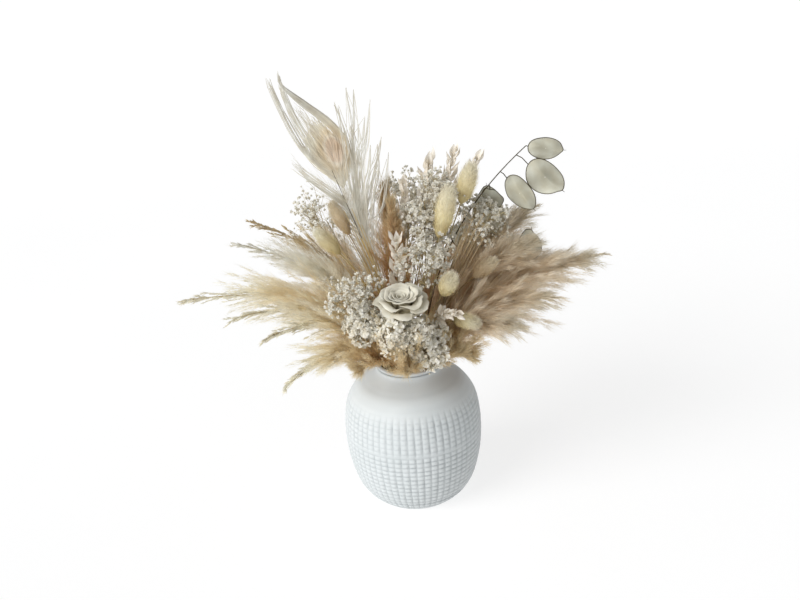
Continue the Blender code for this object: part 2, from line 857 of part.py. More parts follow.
def dress_feather(part, rng):
    length = part.path.length
    for distance, _, face in part.sockets:
        sideways, upward, forward = frame_at(part, distance)
        out = outward(part, distance, face)
        side = out.dot(sideways)
        if abs(side) < 0.5:
            continue
        angle, reach, half = barb_plan(distance / length, side > 0)
        turn = math.radians(angle)
        lateral = sideways * math.copysign(1.0, side)
        heading = forward * math.cos(turn) + lateral * math.sin(turn)
        across = forward * math.sin(turn) - lateral * math.cos(turn)
        leaf(part, face, heading, across, reach, half, sizes=(1.0, 0.8, 0.6, 0.4, 0.25))
    sharpen(part.bm, part.cap, part.path.beyond(0.012))


# Rose, whose petals are separate shells sunk in a cup and joined in one union

def petal_section(layer, azimuth, share):
    """Outer and inner points of a petal across its width, at a share of its height. Each petal
    runs from inside one neighbour to outside the other."""
    _, foot, rim, height, span = layer
    radius = foot + (rim - foot) * share**1.4
    level = PETAL_FOOT + height * math.sin(share * math.pi / 2 * 1.1)
    half = math.radians(span) * (0.7 + 0.3 * share) * (1.0 if share < 0.9 else 0.72)
    outer, inner = [], []
    for k in (-1, -0.5, 0, 0.5, 1):
        side = unit(azimuth + math.degrees(k * half))
        spread = radius + PETAL_SKEW * (k + 1)
        lift = level + 0.002 * (1 - k * k) * share
        outer.append(side * (spread + BLADE) + UP * lift)
        inner.append(side * spread + UP * lift)
    return outer + inner[::-1]


def petal_mesh(layer, azimuth):
    bm = bmesh.new()
    sections = [petal_section(layer, azimuth, share) for share in (0.0, 0.55, 1.0)]
    cap = prism(bm, sections[0], sections[1])
    extend(bm, cap, sections[2])
    return bm


def heart_mesh():
    """The rolled heart of the rose: one ribbon wound outwards."""
    bm = bmesh.new()
    cap = None
    for step in range(HEART_STEPS + 1):
        share = step / HEART_STEPS
        side = unit(360 * HEART_TURNS * share)
        radius = HEART_FROM + (HEART_RADIUS - HEART_FROM) * share
        top = PETAL_FOOT + HEART_HEIGHT * (0.86 + 0.14 * math.cos(6 * math.pi * share))
        low = PETAL_FOOT + 0.001
        section = [
            side * radius + UP * low, side * (radius + BLADE) + UP * low,
            side * (radius + BLADE + HEART_FLARE) + UP * top,
            side * (radius + HEART_FLARE) + UP * top,
        ]
        if step == 0:
            first = section
        elif step == 1:
            cap = prism(bm, first, section)
        else:
            cap, _ = extend(bm, cap, section)
    return bm


def rose_cup():
    """The hub that the petals stand in."""
    bm = bmesh.new()
    circles = [circle(height, radius, CUP_SIDES) for height, radius in CUP]
    cap = prism(bm, circles[0], circles[1])
    for ring in circles[2:]:
        cap, _ = extend(bm, cap, ring)
    return bm


def object_from(bm, name):
    mesh = bpy.data.meshes.new(name)
    bmesh.ops.recalc_face_normals(bm, faces=bm.faces)
    bm.to_mesh(mesh)
    obj = bpy.data.objects.new(name, mesh)
    bpy.context.scene.collection.objects.link(obj)
    return obj


def boolean(obj, others, operation, solver):
    """Joins or cuts an object with all the others at once, and removes those."""
    group = bpy.data.collections.new("tools")
    bpy.context.scene.collection.children.link(group)
    for other in others:
        bpy.context.scene.collection.objects.unlink(other)
        group.objects.link(other)
    modifier = obj.modifiers.new("boolean", "BOOLEAN")
    modifier.operation = operation
    modifier.operand_type = "COLLECTION"
    modifier.solver = solver
    modifier.collection = group
    graph = bpy.context.evaluated_depsgraph_get()
    mesh = bpy.data.meshes.new_from_object(obj.evaluated_get(graph))
    obj.modifiers.clear()
    obj.data = mesh
    for other in others:
        bpy.data.objects.remove(other)
    bpy.data.collections.remove(group)


def islands(bm):
    """The mesh's vertices in connected groups."""
    left = set(bm.verts)
    groups = []
    while left:
        edge_of_search = [left.pop()]
        group = set(edge_of_search)
        while edge_of_search:
            vert = edge_of_search.pop()
            for edge in vert.link_edges:
                other = edge.other_vert(vert)
                if other in left:
                    left.remove(other)
                    group.add(other)
                    edge_of_search.append(other)
        groups.append(group)
    return groups


def drop_scraps(bm):
    """Keeps the largest body of a union and drops the loose scraps."""
    groups = sorted(islands(bm), key=len)
    for group in groups[:-1]:
        bmesh.ops.delete(bm, geom=list(group), context="VERTS")


def rose_stem(foot, laid):
    part = Part("rose", "rose")
    part.path, part.side = stem_path(foot, ROSE_BASE, ROSE_LEAN, 0)
    length = part.path.length
    part.rows = bare_stem(length, 0.0014)
    part.reach = [(0, 0.0016), (length - 0.012, 0.0016), (length, 0.012)]
    laid.append(samples(part))
    base, axis = Vector(ROSE_BASE), unit(-90, ROSE_LEAN)
    heights = (0.010, 0.014, 0.018)
    bloom = np.array([base + axis * height for height in heights])
    laid.append((bloom, np.full(len(heights), ROSE_RADIUS)))
    swept(part, 6)
    return part


def dress_rose(part, _):
    stem = object_from(part.bm, "rose")
    place = Matrix.Translation(Vector(ROSE_BASE) - part.path.along(part.path.length) * 0.0015)
    tilt = Matrix.Rotation(math.radians(ROSE_LEAN), 4, "X")
    pieces = [rose_cup(), heart_mesh()]
    for number, layer in enumerate(PETAL_LAYERS):
        for k in range(layer[0]):
            pieces.append(petal_mesh(layer, 360 * (k + 0.37 * number) / layer[0]))
    others = []
    for bm in pieces:
        bm.transform(place @ tilt)
        others.append(object_from(bm, "petal"))
    boolean(stem, others, "UNION", "MANIFOLD")
    part.bm = bmesh.new()
    part.bm.from_mesh(stem.data)
    drop_scraps(part.bm)
    bpy.data.objects.remove(stem)


# Vase and foam

def circle(height, radius, columns, ribbed=False):
    """A level ring of points; on a ribbed one every second point stands out."""
    points = []
    for i in range(columns):
        turn = 2 * math.pi * i / columns
        reach = radius + (NET_RAISE if ribbed and i % 2 == 0 else 0.0)
        points.append(Vector((reach * math.cos(turn), reach * math.sin(turn), height)))
    return points


def outline_radius(height):
    """The vase's outer radius at a height, on straight lines between the outline's points."""
    return float(np.interp(height, [p[0] for p in OUTLINE], [p[1] for p in OUTLINE]))


def band(bm, low, high):
    """Faces between two rings, where the lower may have a whole number of times the columns."""
    ratio = len(low) // len(high)
    half = (ratio + 1) // 2
    for i in range(len(high)):
        j = (i + 1) % len(high)
        edge = [low[(i * ratio + k) % len(low)] for k in range(ratio + 1)]
        if ratio == 1:
            bm.faces.new((edge[0], edge[1], high[j], high[i]))
            continue
        for k in range(ratio):
            bm.faces.new((edge[k], edge[k + 1], high[i] if k < half else high[j]))
        bm.faces.new((edge[half], high[j], high[i]))


def vase():
    part = Part("vase", "ceramic")
    rings = [circle(*OUTLINE[0], NET_COLUMNS), circle(*OUTLINE[1], NET_COLUMNS)]
    for row, height in enumerate(NET_ROWS):
        rings.append(circle(height, outline_radius(height), NET_COLUMNS, ribbed=row % 2 == 1))
    for height in RIB_ROWS:
        rings.append(circle(height, outline_radius(height), NET_COLUMNS, ribbed=True))
    rings.append(circle(COLLAR_FROM, outline_radius(COLLAR_FROM), NET_COLUMNS))
    rings += [circle(z, r, COLLAR_COLUMNS) for z, r in OUTLINE if z > COLLAR_FROM + COLLAR_GAP]
    rings += [circle(z, r, INSIDE_COLUMNS) for z, r in INSIDE]
    verts = [[part.bm.verts.new(p) for p in ring] for ring in rings]
    part.bm.faces.new(verts[0][::-1])
    for low, high in zip(verts, verts[1:]):
        band(part.bm, low, high)
    part.bm.faces.new(verts[-1])
    return part


def hole(part):
    """The cutter of the hole that a stem stands in, wider than the stem by the gap all round."""
    root = part.path.point(0)
    line = part.path.along(STEM_DEPTH / 2)
    across = line.orthogonal().normalized()
    wide = (part.rows[0][1] + HOLE_GAP) / math.cos(math.pi / HOLE_SIDES)
    low = oval(root - line * HOLE_GAP * 2, across, line.cross(across), wide, wide, HOLE_SIDES)
    high = [p + line * (STEM_DEPTH + HOLE_PAST_TOP) for p in low]
    bm = bmesh.new()
    prism(bm, low, high)
    return object_from(bm, "hole")


def foam(parts):
    """The column with a hole round the root of every stem."""
    column = Part("dry_foam", "foam")
    low, high = (circle(height, FOAM_RADIUS, FOAM_SIDES) for height in (FOAM_LOW, FOAM_TOP))
    prism(column.bm, low, high)
    body = object_from(column.bm, "dry_foam")
    boolean(body, [hole(part) for part in parts], "DIFFERENCE", "EXACT")
    column.bm = bmesh.new()
    column.bm.from_mesh(body.data)
    bpy.data.objects.remove(body)
    return column


def material(name):
    colour, roughness = COLOURS[name]
    made = bpy.data.materials.get(name) or bpy.data.materials.new(name)
    made.use_nodes = True
    shader = made.node_tree.nodes["Principled BSDF"]
    shader.inputs["Base Color"].default_value = (*colour, 1.0)
    shader.inputs["Roughness"].default_value = roughness
    shader.inputs["Metallic"].default_value = 0.0
    return made


def finish(part):
    bm = part.bm
    bmesh.ops.recalc_face_normals(bm, faces=bm.faces)
    mesh = bpy.data.meshes.new(part.name)
    bm.to_mesh(mesh)
    mesh.materials.append(material(part.material))
    obj = bpy.data.objects.new(part.name, mesh)
    bpy.context.scene.collection.objects.link(obj)
    mesh.shade_smooth()
    mesh.set_sharp_from_angle(angle=math.radians(40))
    return obj


def lay_stems():
    """All stems in the order in which they take their place, the firmest heads first."""
    tips = [FEATHER_TIP, ROSE_BASE]
    makers = []
    for table, maker in (
        (BUNNY_TAILS, bunny_tail), (FLORET_HEADS, floret_head), (HONESTY, honesty),
        (SPRIGS, sprig), (SPRAYS, spray), (PLUMES, plume),
    ):
        for row in table:
            tips.append(row[1])
            makers.append((maker, row))
    slots = spread_slots(tips)
    laid = []
    parts = [feather(slots[0], laid), rose_stem(slots[1], laid)]
    for slot, (maker, row) in zip(slots[2:], makers):
        parts.append(maker(*row, slot, laid))
    return parts


DRESSERS = {
    "feather": dress_feather, "rose": dress_rose, "bunny": dress_bunny_tail,
    "floret": dress_floret_head, "pod": dress_honesty, "leaf": dress_sprig,
    "blossom": dress_spray, "plume": dress_plume,
}


def main():
    for obj in list(bpy.data.objects):
        bpy.data.objects.remove(obj)
    vessel = vase()
    remember(vessel)
    stems = lay_stems()
    for part in stems:
        remember(part)
    column = foam(stems)
    remember(column)
    for number, part in enumerate(stems):
        DRESSERS[part.material](part, random.Random(SEED + number))
        remember(part)
    for part in (vessel, column, *stems):
        finish(part)


main()
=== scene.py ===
"""Looks of the vase of dried flowers: every stem, bloom and plume as fine geometry round the
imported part's frame, with its materials, a pale floor, soft light and the photograph's camera."""

import json
import math

import bpy
import numpy as np
from mathutils import Matrix, Vector

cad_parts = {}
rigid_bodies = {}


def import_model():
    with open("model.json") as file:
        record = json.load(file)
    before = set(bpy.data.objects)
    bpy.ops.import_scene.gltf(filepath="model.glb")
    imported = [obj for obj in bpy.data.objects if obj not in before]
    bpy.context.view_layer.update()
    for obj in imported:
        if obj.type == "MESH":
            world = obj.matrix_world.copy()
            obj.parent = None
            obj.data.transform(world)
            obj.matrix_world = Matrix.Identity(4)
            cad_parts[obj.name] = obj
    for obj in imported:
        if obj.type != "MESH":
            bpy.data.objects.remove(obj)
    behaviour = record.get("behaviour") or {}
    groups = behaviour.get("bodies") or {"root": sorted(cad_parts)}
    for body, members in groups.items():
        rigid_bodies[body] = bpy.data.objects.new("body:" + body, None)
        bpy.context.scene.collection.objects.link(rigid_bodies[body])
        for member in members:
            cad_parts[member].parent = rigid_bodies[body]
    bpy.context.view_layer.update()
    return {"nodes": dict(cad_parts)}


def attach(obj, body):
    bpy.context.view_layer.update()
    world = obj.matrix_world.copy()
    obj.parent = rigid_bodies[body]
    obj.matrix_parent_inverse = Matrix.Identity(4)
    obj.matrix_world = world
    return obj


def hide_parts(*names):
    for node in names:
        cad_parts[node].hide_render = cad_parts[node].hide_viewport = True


for old in list(bpy.data.objects):
    bpy.data.objects.remove(old)
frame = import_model()

# The part's own stems, in metres: where each tip is and how it leans there

MOUTH_HEIGHT = 0.150
STEM_DEPTH = 0.034
FOCUS = np.array([0.0, 0.0, 0.020])
SLOT_CIRCLE = 0.0250
SLOT_PITCH = 0.0060
OUTERMOST_LEAN = 70
PUSH_ROUNDS = 400
RISE_HANDLE = 0.42
FALL_HANDLE = 0.34
SWINGS = {"bunny_tail_6": 0.08, "babys_breath_3": 0.08, "plume_right_3": 0.08}

# Name: tip, lean of the tip, head length, head radius
BUNNY_TAILS = {
    "bunny_tail_1": ((0.048, -0.020, 0.336), 8, 0.051, 0.0100),
    "bunny_tail_2": ((0.072, 0.000, 0.350), 16, 0.038, 0.0090),
    "bunny_tail_3": ((0.045, -0.062, 0.264), 30, 0.027, 0.0085),
    "bunny_tail_4": ((0.066, -0.068, 0.217), 96, 0.030, 0.0075),
    "bunny_tail_5": ((0.088, -0.030, 0.264), 52, 0.028, 0.0070),
    "bunny_tail_6": ((-0.064, 0.020, 0.317), 30, 0.035, 0.0070),
    "bunny_tail_7": ((-0.080, 0.000, 0.295), 44, 0.031, 0.0075),
    "bunny_tail_8": ((0.040, 0.075, 0.318), 26, 0.040, 0.0090),
}
# Name: tip, lean of the tip, side clusters as (offset from the middle, florets, reach)
FLORET_HEADS = {
    "floret_head_1": ((-0.046, -0.066, 0.222), 62, (
        ((0.014, 0.002, 0.000), 26, 0.011), ((0.000, 0.006, 0.017), 30, 0.010),
    )),
    "floret_head_2": ((-0.010, -0.084, 0.214), 66, (
        ((0.016, 0.002, 0.008), 30, 0.011), ((-0.012, 0.006, 0.012), 24, 0.010),
        ((0.000, -0.012, 0.016), 22, 0.009), ((0.020, -0.010, 0.013), 22, 0.009),
    )),
    "floret_head_3": ((0.022, -0.080, 0.194), 80, (
        ((-0.004, 0.006, 0.020), 32, 0.012), ((0.010, 0.010, 0.014), 24, 0.010),
    )),
}
# Name: tip, lean of the tip, pods as (distance from the tip, azimuth, lean, twig, length)
HONESTY = {
    "honesty_1": ((0.126, 0.020, 0.360), 52, (
        (0.004, 0, 100, 0.004, 0.032), (0.012, -18, 128, 0.014, 0.042),
        (0.034, -30, 136, 0.010, 0.036), (0.050, 75, 150, 0.008, 0.030),
    )),
    "honesty_2": ((0.096, 0.034, 0.262), 34, (
        (0.004, 150, 6, 0.006, 0.046), (0.020, 150, 50, 0.008, 0.036),
    )),
    "honesty_3": ((0.122, 0.012, 0.240), 70, (
        (0.004, -10, 10, 0.004, 0.034), (0.020, 90, 60, 0.008, 0.034),
    )),
}
# Name: tip, lean of the tip, length of the leafy part, leaf length
SPRIGS = {
    "leafy_sprig_1": ((0.006, 0.012, 0.336), -4, 0.060, 0.016),
    "leafy_sprig_2": ((0.033, 0.022, 0.351), 10, 0.060, 0.020),
    "leafy_sprig_3": ((0.057, 0.026, 0.357), 14, 0.052, 0.018),
    "leafy_sprig_4": ((0.080, 0.012, 0.355), 38, 0.044, 0.016),
    "leafy_sprig_5": ((-0.004, -0.040, 0.296), 10, 0.058, 0.018),
    "leafy_sprig_6": ((0.047, -0.084, 0.236), 78, 0.040, 0.014),
}
# Name: top, lean of the tip, length of the branched part
SPRAYS = {
    "babys_breath_1": ((0.010, 0.000, 0.310), 6, 0.060),
    "babys_breath_2": ((0.040, 0.010, 0.330), 14, 0.056),
    "babys_breath_3": ((0.088, 0.014, 0.300), 36, 0.056),
    "babys_breath_4": ((0.028, -0.036, 0.280), 22, 0.056),
    "babys_breath_5": ((-0.095, 0.052, 0.302), 46, 0.070),
    "babys_breath_6": ((-0.056, -0.062, 0.248), 48, 0.050),
    "babys_breath_7": ((0.010, 0.100, 0.304), 30, 0.064),
}
# Which way the twigs of a spray lean beside their own spread
SPRAY_BIAS = {
    "babys_breath_1": (0.75, -0.10, 0.0), "babys_breath_5": (-0.10, 0.0, 0.40),
    "babys_breath_6": (0.40, 0.0, 0.0),
}
# Twigs of a spray, fine twigs on each, stalks on each of those, flower size
USUAL_SPRAY = (15, 5, 5, 0.0022)
SPARSE_SPRAYS = {"babys_breath_5": (15, 4, 4, 0.0019)}
# Name: tip, lean of the tip, bare share of the stem, branch length
PLUMES = {
    "plume_left_1": ((-0.218, 0.000, 0.234), 94, 0.30, 0.040),
    "plume_left_2": ((-0.153, 0.075, 0.286), 80, 0.32, 0.040),
    "plume_left_3": ((-0.158, 0.012, 0.284), 74, 0.32, 0.040),
    "plume_left_4": ((-0.165, -0.036, 0.226), 100, 0.30, 0.040),
    "plume_left_5": ((-0.134, -0.068, 0.216), 106, 0.30, 0.036),
    "plume_left_6": ((-0.118, -0.078, 0.170), 128, 0.34, 0.030),
    "plume_left_7": ((-0.058, -0.084, 0.172), 122, 0.40, 0.022),
    "plume_right_1": ((0.196, 0.000, 0.252), 78, 0.30, 0.040),
    "plume_right_2": ((0.168, 0.048, 0.229), 86, 0.32, 0.038),
    "plume_right_3": ((0.134, 0.046, 0.289), 52, 0.30, 0.044),
    "plume_right_4": ((0.142, -0.036, 0.225), 84, 0.30, 0.038),
    "plume_right_5": ((0.106, -0.068, 0.212), 92, 0.34, 0.034),
    "plume_right_6": ((0.066, -0.056, 0.172), 124, 0.42, 0.020),
    "plume_centre": ((-0.012, 0.056, 0.316), 8, 0.46, 0.024),
    "plume_front": ((-0.004, -0.088, 0.176), 118, 0.50, 0.014),
    "plume_back_1": ((0.090, 0.120, 0.262), 76, 0.42, 0.038),
    "plume_back_2": ((0.000, 0.150, 0.250), 82, 0.42, 0.038),
    "plume_back_3": ((-0.095, 0.125, 0.262), 76, 0.42, 0.038),
}
ROSE_BASE = (-0.003, -0.072, 0.240)
ROSE_LEAN = 16
FEATHER_RISE = 0.085
FEATHER_HANDLE = (-0.062, 0.030, 0.335)
FEATHER_TIP = (-0.082, 0.030, 0.418)

GOLDEN_TURN = math.radians(137.508)
UP = np.array([0.0, 0.0, 1.0])


def unit(vectors):
    return vectors / np.maximum(np.linalg.norm(vectors, axis=-1, keepdims=True), 1e-12)


def swing(first, second, turn):
    """Directions at each turn, in radians, from the first towards the second."""
    turn = np.reshape(turn, (-1, 1))
    return first * np.cos(turn) + second * np.sin(turn)


def full_turn(sides):
    """Evenly spaced turns, in radians, all the way round."""
    return np.arange(sides) * 2 * np.pi / sides


def direction(azimuth, lean):
    turn, tilt = math.radians(azimuth), math.radians(lean)
    flat = math.sin(tilt)
    return np.array([flat * math.cos(turn), flat * math.sin(turn), math.cos(tilt)])


class Line:
    """A stem's line from its root in the foam to its tip, read by the distance along it."""

    def __init__(self, foot, first, second, tip, side):
        root = foot + unit(foot - first) * STEM_DEPTH
        t = np.linspace(0, 1, 61)[:, None]
        u = 1 - t
        curve = u**3 * foot + 3 * u * u * t * first + 3 * u * t * t * second + t**3 * tip
        self.points = np.vstack([root, curve])
        steps = np.linalg.norm(np.diff(self.points, axis=0), axis=1)
        self.walked = np.concatenate([[0.0], np.cumsum(steps)])
        self.length = self.walked[-1]
        self.side = side

    def point(self, distance):
        distance = np.clip(distance, 0, self.length)
        return np.stack(
            [np.interp(distance, self.walked, self.points[:, k]) for k in range(3)], axis=-1
        )

    def frames(self, distance):
        """Forward, sideways and upward directions at each distance."""
        distance = np.asarray(distance, float)
        forward = unit(self.point(distance + 0.002) - self.point(distance - 0.002))
        sideways = unit(self.side - forward * (forward @ self.side)[..., None])
        return forward, sideways, np.cross(forward, sideways)

    def around(self, distance, turn):
        """Forward directions at each distance, and outward ones at a turn round the line."""
        forward, sideways, upward = self.frames(distance)
        return forward, swing(sideways, upward, turn)


def spread_slots(tips):
    """Where each stem stands in the mouth, pushed apart until every pair keeps the pitch."""
    places = []
    for tip in tips:
        azimuth = math.atan2(tip[1], tip[0])
        lean = math.degrees(math.atan2(math.hypot(tip[0], tip[1]), tip[2] - MOUTH_HEIGHT))
        reach = SLOT_CIRCLE * min(1.0, lean / OUTERMOST_LEAN)
        places.append([reach * math.cos(azimuth), reach * math.sin(azimuth)])
    places = np.array(places)
    for _ in range(PUSH_ROUNDS):
        gaps = places[:, None] - places[None]
        spans = np.linalg.norm(gaps, axis=2) + np.eye(len(places))
        push = np.clip(SLOT_PITCH * 1.04 - spans, 0, None) * (1 - np.eye(len(places)))
        places = places + 0.4 * (gaps / spans[..., None] * push[..., None]).sum(axis=1)
        out = np.linalg.norm(places, axis=1)
        places = places * np.minimum(1.0, SLOT_CIRCLE / np.maximum(out, 1e-9))[:, None]
    return np.column_stack([places, np.full(len(places), MOUTH_HEIGHT)])


def stem_line(foot, tip, lean, bend):
    tip = np.array(tip)
    flat = unit(np.array([tip[0] - foot[0], tip[1] - foot[1], 0.0]))
    chord = np.linalg.norm(tip - foot)
    sideways = np.array([-flat[1], flat[0], 0.0])
    start = unit(foot - FOCUS)
    tilt = math.radians(lean)
    end = flat * math.sin(tilt) + UP * math.cos(tilt)
    first = foot + start * chord * RISE_HANDLE
    second = tip - end * chord * FALL_HANDLE + sideways * bend * chord
    return Line(foot, first, second, tip, sideways)


def lay_lines():
    """The line of every stem, in the part's own order of slots."""
    rows = [("peacock_feather", FEATHER_TIP, 0), ("rose", ROSE_BASE, ROSE_LEAN)]
    for table in (BUNNY_TAILS, FLORET_HEADS, HONESTY, SPRIGS, SPRAYS, PLUMES):
        rows += [(name, row[0], row[1]) for name, row in table.items()]
    slots = spread_slots([row[1] for row in rows])
    lines = {}
    for foot, (name, tip, lean) in zip(slots, rows):
        lines[name] = stem_line(foot, tip, lean, SWINGS.get(name, 0.0))
    foot = slots[0]
    rise = foot + unit(foot - FOCUS) * FEATHER_RISE
    lines["peacock_feather"] = Line(
        foot, rise, np.array(FEATHER_HANDLE), np.array(FEATHER_TIP), np.array([1.0, 0.0, 0.0])
    )
    return lines


# Meshes

class Mesh:
    """The quads of one piece. Each point is marked with a random shade, how far along its
    strand it is, and which part of the plant it belongs to."""

    def __init__(self):
        self.points, self.quads, self.marks = [], [], []
        self.count = 0

    def add(self, points, shade, along=0.5, part=0.0, closed=False):
        """Grids of points (..., rows, columns, 3), closed round the columns or not."""
        *grids, rows, columns = points.shape[:-1]
        marks = [np.broadcast_to(mark, points.shape[:-1]) for mark in (shade, along, part)]
        quads = grid_quads(math.prod(grids), rows, columns, closed)
        self.points.append(points.reshape(-1, 3))
        self.quads.append(quads + self.count)
        self.marks.append(np.stack(marks, axis=-1).reshape(-1, 3))
        self.count += len(self.points[-1])

    def make(self, name, material):
        points = np.vstack(self.points).astype(np.float32)
        quads = np.vstack(self.quads).astype(np.int32)
        data = bpy.data.meshes.new(name)
        data.vertices.add(len(points))
        data.vertices.foreach_set("co", points.ravel())
        data.loops.add(quads.size)
        data.loops.foreach_set("vertex_index", quads.ravel())
        data.polygons.add(len(quads))
        data.polygons.foreach_set("loop_start", np.arange(0, quads.size, 4, dtype=np.int32))
        data.update(calc_edges=True)
        data.validate()
        mark = data.attributes.new("mark", "FLOAT_VECTOR", "POINT")
        mark.data.foreach_set("vector", np.vstack(self.marks).astype(np.float32).ravel())
        data.materials.append(material)
        data.shade_smooth()
        piece = bpy.data.objects.new(name, data)
        bpy.context.scene.collection.objects.link(piece)
        return piece


def grid_quads(grids, rows, columns, closed):
    """Quads of a number of equal grids of points, closed round the columns or not."""
    across = columns if closed else columns - 1
    i, j = np.meshgrid(np.arange(rows - 1), np.arange(across), indexing="ij")
    right = (j + 1) % columns
    one = np.stack(
        [i * columns + j, i * columns + right, (i + 1) * columns + right, (i + 1) * columns + j],
        axis=-1,
    ).reshape(-1, 4)
    starts = np.arange(grids)[:, None, None] * rows * columns
    return (one[None] + starts).reshape(-1, 4)


def strands(mesh, curves, widths, sides, shade, part=0.0, along=None, facing=None, rng=None):
    """Strands along curves (n, k, 3) with half widths: flat ribbons for two sides, tubes for
    more. Without a facing, each turns a random way."""
    n, k, _ = curves.shape
    tangents = unit(np.gradient(curves, axis=1))
    if facing is None:
        facing = rng.normal(size=(n, 1, 3))
    first = unit(np.cross(tangents, np.broadcast_to(facing, tangents.shape)))
    second = np.cross(tangents, first)
    offsets = swing(first[:, :, None], second[:, :, None], full_turn(sides))
    points = curves[:, :, None] + offsets * np.broadcast_to(widths, (n, k))[:, :, None, None]
    along = np.broadcast_to(np.linspace(0, 1, k) if along is None else along, (n, k))
    mesh.add(points, np.reshape(shade, (-1, 1, 1)), along[:, :, None], part, sides > 2)


def arcs(roots, headings, lengths, bends, k):
    """Curves that leave the roots along the headings and bend away with the square of the way."""
    t = np.linspace(0, 1, k)[None, :, None]
    lengths = np.asarray(lengths).reshape(-1, 1, 1)
    return roots[:, None] + headings[:, None] * lengths * t + bends[:, None] * lengths * t * t


def straight(roots, ways, lengths):
    """Curves of two points each."""
    return np.stack([roots, roots + ways * lengths[:, None]], axis=1)


def blades(mesh, roots, headings, across, lengths, widths, outline, rows=5, columns=3,
           curl=0.1, cup=0.15, wave=0.0, shade=0.5, level=None):
    """Leaves or petals: outline gives the half width at each share of the length."""
    lengths, widths = lengths[:, None, None, None], widths[:, None, None, None]
    headings = unit(headings)
    across = unit(across - headings * (across * headings).sum(axis=1, keepdims=True))
    normal = np.cross(across, headings)
    t = np.linspace(0, 1, rows)[:, None, None]
    s = np.linspace(-1, 1, columns)[:, None]
    half = outline(t)
    lift = np.reshape(curl, (-1, 1, 1, 1)) * lengths * t * t + cup * widths * s * s * half
    lift = lift + wave * widths * np.sin(t * 9 + s * 2) * half
    points = (
        roots[:, None, None]
        + headings[:, None, None] * lengths * t
        + across[:, None, None] * widths * s * half
        + normal[:, None, None] * lift
    )
    along = np.linspace(0, 1, rows) if level is None else level
    mesh.add(points, np.reshape(shade, (-1, 1, 1)), np.reshape(along, (-1, 1)))


def pointed(t):
    return np.sin(np.pi * np.clip(t, 0.02, 0.985) ** 0.8) ** 0.85


def rounded(t):
    return np.sqrt(np.clip(1 - (1.9 * t - 0.98) ** 2, 0.03, 1)) * (0.35 + 0.65 * t) * 1.15


def seeds(mesh, centres, radii, shade, part, rows, sides):
    """Small round bodies, as closed as a ball whose poles are tiny."""
    latitude = np.linspace(0.12, np.pi - 0.12, rows)[:, None]
    side = unit(np.cross(UP, np.array([0.3, 0.9, 0.1])))
    ring = swing(side, np.cross(UP, side), full_turn(sides))
    ball = np.sin(latitude)[..., None] * ring + np.cos(latitude)[..., None] * UP
    points = centres[:, None, None] + ball * np.reshape(radii, (-1, 1, 1, 1))
    mesh.add(points, shade[:, None, None], part=part, closed=True)


def stem_tube(mesh, line, low, high, thick, thin, steps=26):
    curve = line.point(np.linspace(low, high, steps))[None]
    strands(mesh, curve, np.linspace(thick, thin, steps), 6, 0.5, 1.0, facing=line.side)


def start_piece(name, line, high, thick, thin, steps=26):
    """A random source of the piece's own, so that no piece changes another, and a mesh with
    its stem up to a height."""
    mesh = Mesh()
    stem_tube(mesh, line, 0.0, high, thick, thin, steps)
    return np.random.default_rng(sum(ord(c) * (i + 3) for i, c in enumerate(name))), mesh


def crosswise(rng, axes):
    """A random direction at right angles to each axis."""
    return unit(np.cross(axes, rng.normal(size=axes.shape)))


def cone(rng, axes, low, high):
    """Directions at angles from low to high degrees away from the axes."""
    return swing(axes, crosswise(rng, axes), np.radians(rng.uniform(low, high, len(axes))))


# Materials

def linear(red, green, blue):
    """Linear colour of an 8-bit one."""
    parts = [c / 255 for c in (red, green, blue)]
    parts = [c / 12.92 if c <= 0.04045 else ((c + 0.055) / 1.055) ** 2.4 for c in parts]
    return (*parts, 1.0)


class Shader:
    """Short calls for building a material's nodes."""

    def __init__(self, name):
        self.material = bpy.data.materials.new(name)
        self.material.use_nodes = True
        self.tree = self.material.node_tree
        self.body = self.tree.nodes["Principled BSDF"]

    def feed(self, node, inputs):
        """Joins a node's inputs to other sockets, or sets them where they are constants."""
        for key, value in inputs.items():
            if isinstance(value, bpy.types.NodeSocket):
                self.tree.links.new(value, node.inputs[key])
            else:
                node.inputs[key].default_value = value

    def node(self, kind, inputs=None, **settings):
        made = self.tree.nodes.new("ShaderNode" + kind)
        for key, value in settings.items():
            setattr(made, key, value)
        self.feed(made, inputs or {})
        return made

    def marks(self):
        """Sockets of the shade, the share along the strand and the part."""
        attribute = self.node("Attribute", attribute_name="mark")
        return self.node("SeparateXYZ", {0: attribute.outputs["Vector"]}).outputs

    def noise(self, scale, detail=3.0):
        place = self.node("TexCoord").outputs["Object"]
        texture = self.node("TexNoise", {"Scale": scale, "Detail": detail, "Vector": place})
        return texture.outputs["Fac"]

    def ramp(self, factor, places, colours):
        made = self.node("ValToRGB", {0: factor})
        elements = made.color_ramp.elements
        while len(elements) < len(colours):
            elements.new(0.5)
        for element, place, colour in zip(elements, places, colours):
            element.position = place
            element.color = linear(*colour)
        return made.outputs[0]

    def clouds(self, scale, colours, places=(0.3, 0.7), detail=3.0):
        """Soft patches of two colours."""
        return self.ramp(self.noise(scale, detail), places, colours)

    def mix(self, kind, factor, a, b):
        inputs = {0: factor, 6: a, 7: b}
        return self.node("Mix", inputs, data_type="RGBA", blend_type=kind).outputs[2]

    def scaled(self, value, low, high):
        return self.node("MapRange", {"Value": value, "To Min": low, "To Max": high}).outputs[0]

    def bump(self, height, strength, distance):
        made = self.node("Bump", {"Strength": strength, "Distance": distance, "Height": height})
        self.feed(self.body, {"Normal": made.outputs[0]})

    def glow_through(self, colour, share):
        """Light that comes through thin tissue."""
        through = self.node("BsdfTranslucent", {"Color": colour}).outputs[0]
        both = self.node("MixShader", {0: share, 1: self.body.outputs[0], 2: through})
        self.feed(self.tree.nodes["Material Output"], {"Surface": both.outputs[0]})


